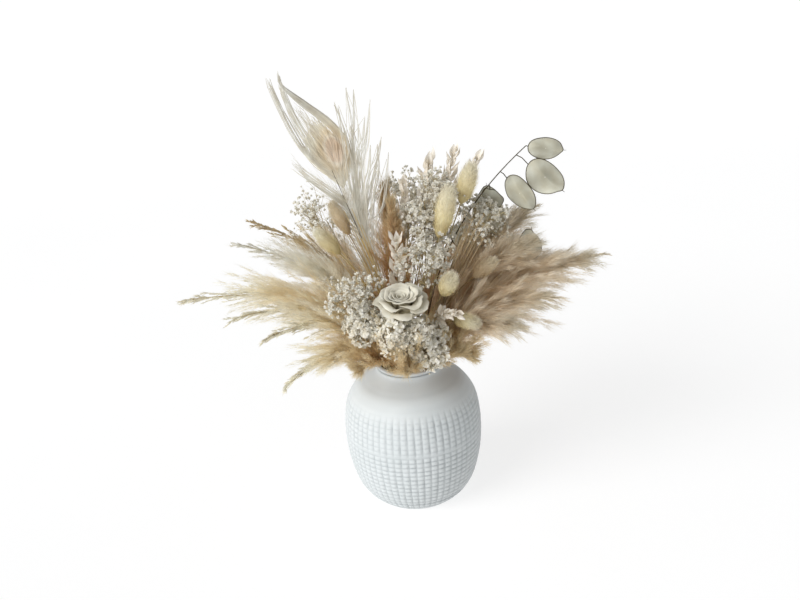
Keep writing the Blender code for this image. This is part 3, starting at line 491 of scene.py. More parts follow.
# Colours from the root to the tip of each strand, colour of the stem, share of the light that
# comes through, and how dark and how light a strand may turn out
PALETTE = {
    "plume_left": (
        ((238, 206, 150), (252, 242, 216), (252, 250, 238), (238, 237, 226)),
        (220, 206, 168), 0.65, 0.92, 1.10),
    "plume_tan": (
        ((246, 228, 190), (246, 232, 200), (218, 202, 166), (190, 174, 142)),
        (200, 182, 142), 0.60, 0.88, 1.12),
    "plume_pale": (
        ((250, 238, 210), (254, 252, 242), (252, 252, 248), (236, 237, 232)),
        (228, 220, 196), 0.65, 0.94, 1.08),
    "plume_right": (
        ((238, 210, 170), (246, 232, 210), (245, 237, 222), (212, 207, 190)),
        (212, 196, 164), 0.65, 0.84, 1.14),
    "plume_gold": (
        ((220, 186, 134), (232, 208, 162), (238, 224, 190), (224, 212, 182)),
        (204, 182, 138), 0.60, 0.86, 1.12),
    "plume_centre": (
        ((222, 174, 120), (228, 196, 150), (222, 208, 176)), (232, 214, 160), 0.60, 0.80, 1.18),
    "bunny": (
        ((232, 218, 168), (242, 234, 200), (244, 241, 226)), (200, 184, 138), 0.30, 0.94, 1.06),
    "bunny_tan": (
        ((208, 186, 150), (222, 206, 176), (232, 224, 204)), (186, 162, 120), 0.30, 0.94, 1.06),
    "blossom": (
        ((232, 230, 220), (240, 240, 234), (246, 246, 243)), (200, 184, 142), 0.36, 0.92, 1.12),
    "leaf": (
        ((228, 220, 206), (242, 237, 228), (248, 245, 240)), (204, 194, 168), 0.30, 0.88, 1.08),
    "floret": (
        ((232, 228, 212), (242, 240, 230), (250, 250, 246)), (236, 222, 190), 0.32, 0.92, 1.06),
    "rose": (
        ((196, 184, 152), (222, 216, 196), (238, 236, 224)), (160, 152, 108), 0.22, 0.94, 1.05),
    "feather": (
        ((240, 227, 210), (242, 229, 212), (250, 245, 234), (240, 230, 208), (243, 239, 226),
         (240, 238, 229), (237, 236, 229)),
        (120, 104, 82), 0.50, 0.84, 1.10),
    "pod": (
        ((196, 194, 176), (208, 208, 194), (110, 104, 82), (96, 88, 66)),
        (104, 94, 68), 0.50, 0.80, 1.16),
}
# Where the feather's colours change between the eye's middle and its edge
EYE_PLACES = (0.0, 0.20, 0.27, 0.36, 0.52, 0.72, 1.0)
TISSUE_ROUGHNESS, POD_ROUGHNESS = 0.75, 0.40
PLUME_SHEEN = 0.3
GRAIN = 90.0


def plant_material(name):
    """Dried tissue: colours along each strand, a stem colour, and a shade for each strand."""
    body, stem, through, dark, light = PALETTE[name]
    shader = Shader(name)
    shade, along, part = shader.marks()
    places = EYE_PLACES if name == "feather" else np.linspace(0, 1, len(body))
    both = shader.mix("MIX", part, shader.ramp(along, places, body), linear(*stem))
    varied = shader.mix("MULTIPLY", 1.0, both, shader.scaled(shade, dark, light))
    mottle = shader.clouds(GRAIN, ((225, 216, 200), (255, 255, 255)))
    final = shader.mix("MULTIPLY", 0.6, varied, mottle)
    shader.feed(shader.body, {
        "Base Color": final, "Specular IOR Level": 0.25,
        "Roughness": POD_ROUGHNESS if name == "pod" else TISSUE_ROUGHNESS,
        "Sheen Weight": PLUME_SHEEN if name.startswith("plume") else 0.0,
    })
    shader.bump(shader.noise(GRAIN * 12), 0.25, 0.0002)
    shader.glow_through(final, through)
    return shader.material


# The glaze's own colour at the crest of a rib, with painted shade darkening it towards the bottom
# of a groove
GLAZE_AND_GROOVE_SHADE_PLACES = (0.0, 0.6, 1.0)
GLAZE_AND_GROOVE_SHADE = ((178, 183, 185), (193, 197, 198), (203, 207, 208))


def ceramic_material():
    """Matte white glaze, with painted shade that makes it a touch darker in the grooves."""
    shader = Shader("matte_white_ceramic")
    raised = shader.marks()[0]
    # Painted shade: the glaze turns darker where the surface lies below the crests, in the
    # grooves, rings and steps
    groove = shader.ramp(raised, GLAZE_AND_GROOVE_SHADE_PLACES, GLAZE_AND_GROOVE_SHADE)
    cloud = shader.clouds(14.0, ((244, 246, 246), (255, 255, 255)))
    shader.feed(shader.body, {
        "Base Color": shader.mix("MULTIPLY", 1.0, groove, cloud), "Specular IOR Level": 0.35,
        "Roughness": shader.scaled(shader.noise(160.0), 0.50, 0.68),
    })
    shader.bump(shader.noise(900.0, 5.0), 0.35, 0.0003)
    return shader.material


def foam_material():
    """Dry floral foam: dull brown-green with fine open pores."""
    shader = Shader("dry_foam_pores")
    pores = shader.clouds(900.0, ((62, 48, 30), (112, 92, 62)), (0.35, 0.65), 6.0)
    shader.feed(shader.body, {"Base Color": pores, "Roughness": 0.95})
    shader.bump(shader.noise(1400.0, 6.0), 0.8, 0.0008)
    return shader.material


def finish_piece(mesh, name, material, slot, *nodes):
    """Makes the piece, lets it ride on the part and stand for its nodes."""
    piece = mesh.make(name, material)
    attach(piece, "root")
    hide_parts(*nodes)


# Vase

OUTLINE = [
    (0.0, 0.045), (0.003, 0.048), (0.012, 0.0555), (0.025, 0.062), (0.050, 0.068),
    (0.076, 0.070), (0.098, 0.0685), (0.112, 0.0655), (0.121, 0.0615), (0.128, 0.056),
    (0.1335, 0.049), (0.138, 0.041), (0.142, 0.0355), (0.145, 0.0335), (0.1485, 0.0338),
    (0.1515, 0.0345), (0.1525, 0.0322),
]
INSIDE = [
    (0.151, 0.0302), (0.140, 0.0295), (0.128, 0.045), (0.100, 0.062), (0.040, 0.061),
    (0.006, 0.040),
]
RIBS = 60
# Places of the mesh's columns across one rib, dense at its groove
RIB_PLACES = (0.0, 0.13, 0.36, 0.64, 0.87)
NET_RAISE = 0.0012
RIB_DEPTH = 0.0014
GROOVE_DEPTH = 0.0015
GROOVE_PITCH = 0.0053
# Places of the mesh's rows across one square of the net, dense at its groove
GROOVE_PLACES = (0.0, 0.17, 0.50, 0.83)
# How wide the upright and the level grooves are, as shares of their pitch
RIB_SHARPNESS, ROW_SHARPNESS = 0.12, 0.13
WIDEST = 0.076
# A smooth band above the widest ring, and a thin groove low down
BAND_HALF = 0.0017
BAND_DEPTH = 0.0003
LOW_RING = 0.0130
LOW_RING_HALF = 0.0011
LOW_RING_DEPTH = 0.0007
RIBS_END = 0.121
FADE = 0.012
# Soft steps on the shoulder and the collar, how wide and how deep they are
STEPS = (0.1245, 0.1335)
STEP_HALF = 0.0016
STEP_DEPTH = 0.0004
# Where the net's rows stop and the plain collar's start
NET_ROWS_END, COLLAR_FROM = 0.1255, 0.1265
LIP_RINGS = 18
INNER_SIDES = 120
CENTRE_RADIUS = 0.002


def smooth_profile(points, steps):
    """The profile's points joined by a smooth curve."""
    points = np.array(points)
    walked = np.concatenate([[0], np.cumsum(np.linalg.norm(np.diff(points, axis=0), axis=1))])
    fine = np.linspace(0, walked[-1], steps)
    padded = np.vstack([2 * points[0] - points[1], points, 2 * points[-1] - points[-2]])
    before, after = walked[0] - (walked[1] - walked[0]), 2 * walked[-1] - walked[-2]
    knots = np.concatenate([[before], walked, [after]])
    out = np.empty((steps, 2))
    for row, w in enumerate(fine):
        i = min(max(np.searchsorted(walked, w, side="right") - 1, 0), len(points) - 2)
        t = (w - walked[i]) / (walked[i + 1] - walked[i])
        span = walked[i + 1] - walked[i]
        before = (padded[i + 2] - padded[i]) / (knots[i + 2] - knots[i]) * span
        after = (padded[i + 3] - padded[i + 1]) / (knots[i + 3] - knots[i + 1]) * span
        a, b = points[i], points[i + 1]
        out[row] = (
            (2 * t**3 - 3 * t**2 + 1) * a + (t**3 - 2 * t**2 + t) * before
            + (-2 * t**3 + 3 * t**2) * b + (t**3 - t**2) * after
        )
    return out


def groove_profile(place, sharpness):
    """1 in the middle of a groove and 0 on the pillow between two, by the place across it."""
    away = np.minimum(place % 1, 1 - place % 1)
    return np.exp(-((away / sharpness) ** 2))


def net_fade(z, foot):
    """1 on the net, falling to 0 at the end of the ribs and at the foot."""
    return np.clip((RIBS_END - z) / FADE, 0, 1) * np.clip(z / foot, 0, 1)


def relief(heights, turns):
    """How deep the surface lies below the ribs' crests."""
    z, turn = heights[:, None], turns[None]
    rib = groove_profile(turn * RIBS / (2 * np.pi), RIB_SHARPNESS)
    row = groove_profile((z - WIDEST) / GROOVE_PITCH, ROW_SHARPNESS)
    patch = 0.55 + 0.45 * np.sin(turn * 2 + 1.9 + np.sin(turn * 3) * 0.6)
    upper = np.clip((z - WIDEST - 0.001) / 0.003, 0, 1)
    rows = row * (1 - upper * (0.55 - 0.45 * patch))
    uneven = 0.80 + 0.20 * np.sin(turn * 23 + z * 160) * np.sin(turn * 7 - z * 240)
    band = np.exp(-(((z - WIDEST - BAND_HALF) / BAND_HALF) ** 4))
    ring = np.exp(-(((z - LOW_RING) / LOW_RING_HALF) ** 2))
    depth = rib * RIB_DEPTH * uneven * (1 - 0.9 * band)
    depth = np.maximum(depth, rows * GROOVE_DEPTH * uneven * (1 - band))
    steps = sum(np.exp(-(((z - step) / STEP_HALF) ** 2)) for step in STEPS) * STEP_DEPTH
    return (depth + ring * LOW_RING_DEPTH + band * BAND_DEPTH) * net_fade(z, 0.004) + steps


def net_heights():
    """Heights of the rows: four to each square of the net, and plain ones beyond it."""
    heights = [0.0, 0.0012]
    z = WIDEST - GROOVE_PITCH * math.floor(WIDEST / GROOVE_PITCH)
    while z < RIBS_END + 0.002:
        heights += [z + GROOVE_PITCH * place for place in GROOVE_PLACES]
        z += GROOVE_PITCH
    return np.array([h for h in heights if h < NET_ROWS_END])


def turned(heights, radii, turns):
    """Rings of points round the upright axis, with one radius each or one for each turn."""
    radii = np.broadcast_to(np.reshape(radii, (len(heights), -1)), (len(heights), len(turns)))
    heights = np.broadcast_to(heights[:, None], radii.shape)
    return np.stack([radii * np.cos(turns), radii * np.sin(turns), heights], axis=-1)


def ribbed_vase():
    curve = smooth_profile(OUTLINE[:-2], 400)
    net = net_heights()
    collar = curve[curve[:, 0] > COLLAR_FROM][::3]
    heights = np.concatenate([net, collar[:, 0]])
    radii = np.concatenate([np.interp(net, curve[:, 0], curve[:, 1]), collar[:, 1]])
    turns = (np.arange(RIBS)[:, None] + np.array(RIB_PLACES)).ravel() * 2 * np.pi / RIBS
    depth = relief(heights, turns)
    radii = (radii + NET_RAISE * net_fade(heights, 0.006))[:, None] - depth
    mesh = Mesh()
    # The first mark is how near a crest each point lies; the glaze paints shade into the grooves
    # from it
    mesh.add(turned(heights, radii, turns), 1 - depth / RIB_DEPTH, closed=True)
    lip = smooth_profile(OUTLINE[-3:] + INSIDE[:2], LIP_RINGS)
    inside = np.vstack([lip, INSIDE[2:], [[INSIDE[-1][0], CENTRE_RADIUS]]])
    for rings in (inside, np.array([[0.0, CENTRE_RADIUS], OUTLINE[0]])):
        mesh.add(turned(*rings.T, full_turn(INNER_SIDES)), 1.0, closed=True)
    finish_piece(mesh, "ribbed_vase", ceramic_material(), "ceramic", "vase")


# Plumes

SILK_WIDTH = 0.00019


def fullness(share):
    """How long the branches are at a share of the way up, thinning towards the tip."""
    swell = 0.55 + 0.45 * np.sin(np.pi * np.minimum(1, share * 1.4))
    return np.where(share < 0.7, swell, 1.25 - share)


# Silk: branches, reach as a share of the part's, spread at the base, how far up it goes,
# hairs, hair length. Panicle: branches and the spikelets on each.
PLUME_STYLES = {
    "plume_left_7": (64, 2.1, 50, 0.95, 8600, 0.012, 6, 8),
    "plume_left_1": (84, 1.75, 38, 0.50, 10500, 0.016, 38, 15),
    "plume_left_2": (66, 1.35, 32, 0.50, 7600, 0.014, 34, 15),
    "plume_left_3": (84, 1.60, 38, 0.55, 10500, 0.016, 38, 15),
    "plume_left": (70, 1.55, 34, 0.50, 9200, 0.015, 32, 15),
    "plume_right_6": (60, 2.0, 44, 0.95, 8000, 0.012, 8, 8),
    "plume_right_3": (96, 1.75, 50, 0.90, 13500, 0.019, 26, 10),
    "plume_right": (90, 1.60, 44, 0.88, 11800, 0.018, 26, 10),
    "plume_back": (60, 1.20, 36, 0.92, 7600, 0.015, 16, 10),
    "plume_centre": (90, 2.2, 36, 1.0, 11500, 0.014, 6, 8),
    "plume_front": (80, 3.0, 72, 1.0, 10500, 0.012, 2, 8),
}
# How much of its stem a plume that leans over the rim covers
PLUME_ENDS = {"plume_front": 0.95, "plume_left_7": 0.90}
# How far branches droop, or rise where it is below zero, as a share of their length
DROOP = {"plume_front": -0.70, "plume_left_7": -0.45, "plume_right_6": -0.30}
USUAL_DROOP = 0.10
# Where the fluff starts, as a share of the bare stem
LOW_STARTS = {"plume_centre": 0.55, "plume_front": 1.15}
USUAL_START = 0.8
# Tip of a second, smaller plume that leaves a stem
SIDE_PLUMES = {
    "plume_right_3": (0.126, -0.016, 0.276), "plume_centre": (-0.006, -0.010, 0.320),
    "plume_front": (0.053, -0.060, 0.184),
}
SIDE_PLUME_START = 0.40
# Middle of the tops of the bare dry stalks beside a plume
STRAW_TOPS = {"plume_centre": (-0.036, -0.018, 0.288), "plume_right_3": (0.068, -0.048, 0.290)}
STRAWS = 26
# Where the silk parts round a bunny tail that shows through it: middle, radius
CLEARINGS = (((0.058, -0.080, 0.223), 0.019), ((0.084, -0.046, 0.268), 0.016))


def side_branches(line, low, high, share, spread, lengths, droop, rng):
    """Branches that leave a stem all round, as roots, headings, lengths and bends."""
    n = len(share)
    starts = low + (high - 0.004 - low) * share
    turn = np.arange(n) * GOLDEN_TURN + rng.uniform(-0.4, 0.4, n)
    forward, out = line.around(starts, turn)
    bends = forward * 0.12 - UP * droop + rng.normal(size=(n, 3)) * 0.07
    return line.point(starts), swing(forward, out, np.radians(spread)), lengths, bends


def on_branch(branch, owner, t):
    """Points and directions at shares of the way along chosen branches."""
    roots, heading, lengths, bends = branch
    points = (
        roots[owner] + heading[owner] * (lengths[owner] * t)[:, None]
        + bends[owner] * (lengths[owner] * t * t)[:, None]
    )
    return points, unit(heading[owner] + 2 * bends[owner] * t[:, None])


def silk(mesh, line, low, high, reach, style, droop, rng):
    """The soft body: long fine hairs lying along branches hidden among them."""
    count, factor, spread, top, hairs, hair = style[:6]
    share = np.sort(top * rng.uniform(0, 1, count) ** 1.2)
    angles = spread * (1 - 0.5 * share) * rng.uniform(0.0, 1.2, count)
    lengths = reach * factor * fullness(share) * rng.uniform(0.6, 1.1, count)
    branch = side_branches(line, low, high, share, angles, lengths, droop, rng)
    owner = rng.choice(count, hairs, p=lengths / lengths.sum())
    t = rng.uniform(0.0, 1.0, hairs) ** 1.15
    roots, tangent = on_branch(branch, owner, t)
    roots = roots + rng.normal(size=(hairs, 3)) * 0.0012
    ways = unit(cone(rng, tangent, 2, 24) - UP * 0.05)
    curves = straight(roots, ways, hair * rng.uniform(0.5, 1.2, hairs) * (1.15 - 0.6 * t))
    widths = np.array([1.0, 0.25]) * SILK_WIDTH * rng.uniform(0.7, 1.3, (hairs, 1))
    along = np.clip(share[owner] * 0.75 + 0.30 * t, 0, 1)[:, None] + np.array([0, 0.06])
    shade = rng.uniform(0, 1, hairs)
    keep = np.ones(hairs, bool)
    for middle, radius in CLEARINGS:
        keep &= (np.linalg.norm(curves - np.array(middle), axis=2) > radius).all(axis=1)
    strands(mesh, curves[keep], widths[keep], 2, shade[keep], along=along[keep], rng=rng)


def panicle(mesh, line, low, high, reach, style, droop, rng):
    """The loose end: thin branches with small pointed spikelets and bristles along them."""
    count, spikelets = style[6:]
    share = np.linspace(0.26, 0.985, count)
    angles = (26 - 18 * share) * rng.uniform(0.3, 1.3, count)
    lengths = reach * fullness(share) * rng.uniform(0.7, 1.35, count)
    branch = side_branches(line, low, high, share, angles, lengths, droop, rng)
    strands(mesh, arcs(*branch, 6), np.linspace(0.00036, 0.00018, 6), 3,
            rng.uniform(0.2, 0.7, count), along=0.75, rng=rng)
    owner = np.repeat(np.arange(count), spikelets)
    n = len(owner)
    t = np.tile(np.linspace(0.22, 1.0, spikelets), count) + rng.normal(size=n) * 0.03
    roots, tangent = on_branch(branch, owner, t)
    ways = cone(rng, tangent, 5, 24)
    blades(mesh, roots, ways, np.cross(ways, rng.normal(size=(n, 3))),
           rng.uniform(0.0038, 0.0068, n), rng.uniform(0.0005, 0.0009, n), pointed,
           rows=4, columns=2, curl=0.1, cup=0, shade=rng.uniform(0, 1, n), level=0.85)
    pick = rng.integers(0, n, n)
    ways = cone(rng, tangent[pick], 3, 16)
    bristles = straight(roots[pick], ways, rng.uniform(0.004, 0.009, n))
    strands(mesh, bristles, (0.00010, 0.00004), 2, rng.uniform(0.3, 1, n), along=0.7, rng=rng)


def straws(mesh, line, top, rng):
    """Bare dry stalks that rise beside the plume."""
    tops = np.array(top) + rng.normal(size=(STRAWS, 3)) * np.array([0.010, 0.006, 0.016])
    roots = line.point(np.full(STRAWS, STEM_DEPTH * 0.9)) + rng.normal(size=(STRAWS, 3)) * 0.0012
    rise = tops - roots
    reach = np.linalg.norm(rise, axis=1)
    out = unit(rise * np.array([1.0, 1.0, 0.0])) * 0.10
    curves = arcs(roots, rise / reach[:, None] - out, reach, out, 10)
    strands(mesh, curves, np.linspace(0.0006, 0.0003, 10), 3, rng.uniform(0.3, 1, STRAWS), 1.0,
            rng=rng)


def plume(name, line, bare, reach):
    style = next(style for key, style in PLUME_STYLES.items() if name.startswith(key))
    high = line.length * PLUME_ENDS.get(name, 1.0)
    rng, mesh = start_piece(name, line, high, 0.0012, 0.0004)
    low = line.length * bare * LOW_STARTS.get(name, USUAL_START)
    droop = DROOP.get(name, USUAL_DROOP)
    fluff = [(line, low, high, reach)]
    if name in SIDE_PLUMES:
        start = line.point(line.length * SIDE_PLUME_START)
        tip = np.array(SIDE_PLUMES[name])
        way = tip - start
        handles = start + way * 0.3 + UP * 0.01, tip - way * 0.3 + UP * 0.006
        side = Line(start, *handles, tip, line.side)
        fluff.append((side, STEM_DEPTH, side.length, reach * 0.8))
    for branch, *where in fluff:
        if branch is not line:
            stem_tube(mesh, branch, STEM_DEPTH, branch.length, 0.0008, 0.0003)
        silk(mesh, branch, *where, style, droop, rng)
        panicle(mesh, branch, *where, style, droop, rng)
    if name in STRAW_TOPS:
        straws(mesh, line, STRAW_TOPS[name], rng)
    return mesh


# Bunny tails

TAIL_HAIRS = 3600
TAIL_HAIR_WIDTH = 0.00013


def bunny_tail(name, line, head, radius):
    low = line.length - head
    rng, mesh = start_piece(name, line, low + 0.002, 0.0008, 0.0006)

    def swell(share):
        return radius * 0.82 * np.sin(np.pi * (0.002 + 0.996 * share)) ** 0.5

    share = (1 - np.cos(np.linspace(0, np.pi, 20))) / 2
    strands(mesh, line.point(low + head * share)[None], swell(share), 16, 0.55, along=share,
            facing=line.side)
    n = TAIL_HAIRS
    share = rng.uniform(0.0, 1.0, n) ** 0.95
    forward, out = line.around(low + head * share, rng.uniform(0, 2 * np.pi, n))
    roots = line.point(low + head * share) + out * (swell(share) * 0.94)[:, None]
    lift = rng.uniform(0.15, 0.90, n)[:, None]
    ways = unit(forward + out * lift + rng.normal(size=(n, 3)) * 0.12)
    curves = straight(roots, ways, radius * rng.uniform(0.30, 0.85, n))
    widths = np.array([1.0, 0.15]) * TAIL_HAIR_WIDTH * rng.uniform(0.7, 1.3, (n, 1))
    along = np.clip(share[:, None] + np.array([0.0, 0.15]), 0, 1)
    strands(mesh, curves, widths, 2, rng.uniform(0.2, 0.9, n), along=along, rng=rng)
    return mesh


# Baby's breath

# Petals, how far they lean out and their size in the outer and the inner ring of a flower
BLOSSOM_RINGS = ((5, 72, 1.0), (4, 34, 0.85))
OPEN_SHARE = 0.8
BUD_RADIUS = 0.0011


def blossoms(mesh, rng, centres, ways, radii):
    """Double flowers of a few small crumpled petals each."""
    n = len(centres)
    for layer, (count, lean, size) in enumerate(BLOSSOM_RINGS):
        side = crosswise(rng, ways)
        other = np.cross(ways, side)
        for k in range(count):
            turn = 2 * np.pi * (k + 0.5 * layer) / count + rng.uniform(-0.3, 0.3, n)
            out = swing(side, other, turn)
            heading = swing(ways, out, np.radians(lean + rng.uniform(-16, 16, n)))
            blades(mesh, centres, heading, np.cross(ways, out), radii * size, radii * 0.60 * size,
                   rounded, rows=3, columns=2, curl=-0.25, cup=0, shade=rng.uniform(0.2, 1, n))
    seeds(mesh, centres, radii * 0.45, rng.uniform(0.3, 0.9, n), 0.10, rows=3, sides=5)


def spray(name, line, branched):
    """Twigs that fork twice, with a flower or a bud at each end."""
    twigs, fine, stalks, size = SPARSE_SPRAYS.get(name, USUAL_SPRAY)
    rng, mesh = start_piece(name, line, line.length - 0.004, 0.0009, 0.0004)
    starts = line.length - branched + branched * np.linspace(0.0, 0.95, twigs) * 0.85
    forward, out = line.around(starts, np.arange(twigs) * GOLDEN_TURN)
    bias = np.array(SPRAY_BIAS.get(name, (0.0, 0.0, 0.0)))
    heading = unit(forward + out * rng.uniform(0.4, 0.95, twigs)[:, None] + bias)
    lengths = (0.012 + (line.length - starts) * 0.42) * rng.uniform(0.8, 1.1, twigs)
    branch = (line.point(starts), heading, lengths, UP * 0.10 + rng.normal(size=(twigs, 3)) * 0.08)
    levels = [(branch, 0.00045, 6, 3)]
    for count, spread, width in ((fine, (14, 50), 0.00026), (stalks, (12, 60), 0.00018)):
        owner = np.repeat(np.arange(len(branch[0])), count)
        t = np.tile(np.linspace(0.4, 1.0, count), len(branch[0]))
        points, tangent = on_branch(branch, owner, t)
        ways = cone(rng, tangent, *spread)
        reach = np.clip(branch[2][owner] * 0.62 * rng.uniform(0.5, 1.1, len(owner)), 0.005, 0.02)
        branch = (points, ways, reach, rng.normal(size=(len(owner), 3)) * 0.10)
        levels.append((branch, width, 4, 2))
    for branch, width, k, sides in levels:
        strands(mesh, arcs(*branch, k), np.linspace(width, width * 0.7, k), sides,
                rng.uniform(0.2, 0.8, len(branch[0])), 1.0, rng=rng)
    n = len(branch[0])
    ends, ways = on_branch(branch, np.arange(n), np.ones(n))
    open_ones = rng.uniform(size=n) < OPEN_SHARE
    blossoms(mesh, rng, ends[open_ones], ways[open_ones],
             size * rng.uniform(0.75, 1.3, open_ones.sum()))
    buds = ends[~open_ones]
    seeds(mesh, buds, np.full(len(buds), BUD_RADIUS), rng.uniform(0.4, 1, len(buds)), 0.05,
          rows=4, sides=6)
    return mesh


# Leafy sprigs

SPRIG_LEAVES = 24


def sprig(name, line, leafy, leaf):
    rng, mesh = start_piece(name, line, line.length, 0.0010, 0.0004)
    n = SPRIG_LEAVES
    share = np.linspace(0, 1, n)
    starts = line.length - leafy + leafy * share
    forward, out = line.around(starts, np.arange(n) * GOLDEN_TURN)
    opening = (1.15 - 0.75 * share) * rng.uniform(0.7, 1.3, n)
    lengths = leaf * rng.uniform(0.65, 1.05, n) * (1.0 - 0.2 * share)
    blades(mesh, line.point(starts), forward + out * opening[:, None], np.cross(forward, out),
           lengths, lengths * 0.24, pointed, rows=9, columns=5, curl=rng.uniform(-0.45, 0.20, n),
           cup=0.55, wave=0.12, shade=rng.uniform(0.1, 1, n))
    return mesh


# Heads of florets

HEAD_DROP = 0.010
HEAD_FLORETS, HEAD_REACH = 90, 0.0150
HEAD_BUDS = 46


def florets(mesh, rng, centre, axes, n, lowest, reach):
    """Small flowers of five crumpled petals on short stalks all round a middle."""
    forward, sideways, upward = axes
    high = 1 - (np.arange(n) + 0.5) / n * (1 - lowest)
    flat = np.sqrt(np.clip(1 - high**2, 0, 1))[:, None]
    out = forward * high[:, None] + flat * swing(sideways, upward, np.arange(n) * GOLDEN_TURN)
    out = unit(out + rng.normal(size=(n, 3)) * 0.16)
    reach = reach * rng.uniform(0.55, 1.2, n)
    curves = arcs(np.tile(centre, (n, 1)), out, reach, np.zeros((n, 3)), 3)
    strands(mesh, curves, 0.0004, 3, 0.4, 1.0, rng=rng)
    tops = centre + out * reach[:, None]
    side = crosswise(rng, out)
    other = np.cross(out, side)
    for k in range(5):
        away = swing(side, other, 2 * np.pi * k / 5 + rng.uniform(-0.3, 0.3, n))
        heading = swing(out, away, np.radians(rng.uniform(35, 88, n)))
        lengths = rng.uniform(0.0032, 0.0058, n)
        blades(mesh, tops, heading, np.cross(out, away), lengths, lengths * 0.52, rounded,
               rows=5, columns=5, curl=rng.uniform(-0.4, 0.4, n), cup=0.45, wave=0.25,
               shade=rng.uniform(0.0, 1, n))
    return out


def floret_head(name, line, sides):
    rng, mesh = start_piece(name, line, line.length - 0.006, 0.0011, 0.0009)
    axes = [v[0] for v in line.frames(np.array([line.length - HEAD_DROP]))]
    centre = line.point(line.length - HEAD_DROP)
    out = florets(mesh, rng, centre, axes, HEAD_FLORETS, -0.8, HEAD_REACH)
    for offset, count, reach in sides:
        florets(mesh, rng, centre + np.array(offset), axes, count, -0.5, reach)
    m = HEAD_BUDS
    ways = unit(out[:m] + rng.normal(size=(m, 3)) * 0.5)
    buds = centre + ways * rng.uniform(0.012, 0.0200, (m, 1))
    seeds(mesh, buds, rng.uniform(0.0008, 0.0016, m), rng.uniform(0.3, 1, m), 0.3, rows=5, sides=7)
    return mesh


# Rose

# Layers from the heart outwards: petals, foot radius, rim radius, height, half span, roll and
# crumple
ROSE_LAYERS = [
    (2, 0.0010, 0.0034, 0.0150, 150, 0.0002, 0.3),
    (3, 0.0024, 0.0068, 0.0160, 100, 0.0004, 0.5),
    (3, 0.0042, 0.0104, 0.0172, 84, 0.0006, 0.7),
    (4, 0.0062, 0.0142, 0.0184, 66, 0.0012, 1.0),
    (4, 0.0088, 0.0190, 0.0150, 58, 0.0022, 1.6),
    (4, 0.0106, 0.0232, 0.0090, 52, 0.0030, 2.2),
]
# Rows and columns of a petal's face
PETAL_GRID = 13


def rose_petal(layer, azimuth, rng):
    """A petal from inside one neighbour to outside the other, its rim rolled outwards."""
    _, foot, rim, height, span, roll, crumple = layer
    v = np.linspace(0, 1, PETAL_GRID)[:, None]
    u = np.linspace(-1, 1, PETAL_GRID)[None]
    phases = rng.uniform(0, 6, 4)
    edge = 1 - 0.30 * np.abs(u) ** 2.6 - 0.05 * crumple * (1 + np.sin(u * 4 + phases[3])) / 2
    share = v * edge
    radius = foot + (rim - foot) * share**1.5 + 0.0009 * (u + 1)
    curl = np.clip((share - 0.72) / 0.28, 0, 1)
    fold = np.sin(u * 6 + phases[0]) + 0.5 * np.sin(u * 13 + v * 5 + phases[2])
    radius = radius + roll * np.sin(curl * 2.2) + 0.0005 * crumple * fold * v
    level = 0.002 + height * np.sin(share * 1.45) - roll * 1.1 * curl**2
    level = level + 0.0007 * crumple * np.sin(u * 5 + v * 3 + phases[1]) * v
    turn = np.radians(azimuth + u * span * (0.55 + 0.45 * v))
    return np.stack([radius * np.cos(turn), radius * np.sin(turn), level], axis=-1)


BRACTS = 34
PETAL_THICKNESS = 0.00045
# The green cup under the petals, as (height, radius)
CALYX = ((0.0, 0.0030), (0.0008, 0.0062), (0.0030, 0.0105), (0.0050, 0.0098))
CALYX_SIDES = 18


def rose(line):
    rng, mesh = start_piece("rose", line, line.length, 0.0014, 0.0016)
    tilt = np.array(Matrix.Rotation(math.radians(ROSE_LEAN), 3, "X"))
    base = np.array(ROSE_BASE) - line.frames(np.array([line.length]))[0][0] * 0.0015
    for number, layer in enumerate(ROSE_LAYERS):
        for k in range(layer[0]):
            azimuth = 360 * (k + 0.37 * number) / layer[0] + rng.uniform(-8, 8)
            outer = rose_petal(layer, azimuth, rng)
            inward = outer.copy()
            inward[..., :2] -= unit(outer[..., :2]) * PETAL_THICKNESS
            inward[..., 2] += PETAL_THICKNESS * 0.4
            shade = rng.uniform(0.2, 1.0)
            world = np.concatenate([outer, inward[:, ::-1]], axis=1) @ tilt.T + base
            mesh.add(world, shade, np.linspace(0, 1, PETAL_GRID)[:, None], closed=True)
            rim = np.stack([world[-1, :PETAL_GRID], world[-1, PETAL_GRID:][::-1]])
            mesh.add(rim, shade, 1.0)
    n = BRACTS
    turn = np.arange(n) * GOLDEN_TURN
    out = np.stack([np.cos(turn), np.sin(turn), np.zeros(n)], axis=-1) @ tilt.T
    axis = UP @ tilt.T
    heading = swing(axis, out, np.radians(rng.uniform(60, 125, n)))
    lengths = rng.uniform(0.012, 0.020, n)
    feet = base + out * 0.004 - axis * rng.uniform(0.0, 0.009, n)[:, None]
    blades(mesh, feet, heading, np.cross(axis, out), lengths, lengths * 0.22, pointed, rows=9,
           columns=5, curl=rng.uniform(-0.4, 0.4, n), cup=0.6, wave=0.22,
           shade=rng.uniform(0.2, 1, n), level=1.0)
    calyx = turned(*np.array(CALYX).T, full_turn(CALYX_SIDES))
    mesh.add(calyx @ tilt.T + base, 0.4, 0.2, 0.3, closed=True)
    return mesh


# Honesty

POD_RINGS, POD_SIDES = 12, 40
POD_HALF_WIDTH_SHARE = 0.335


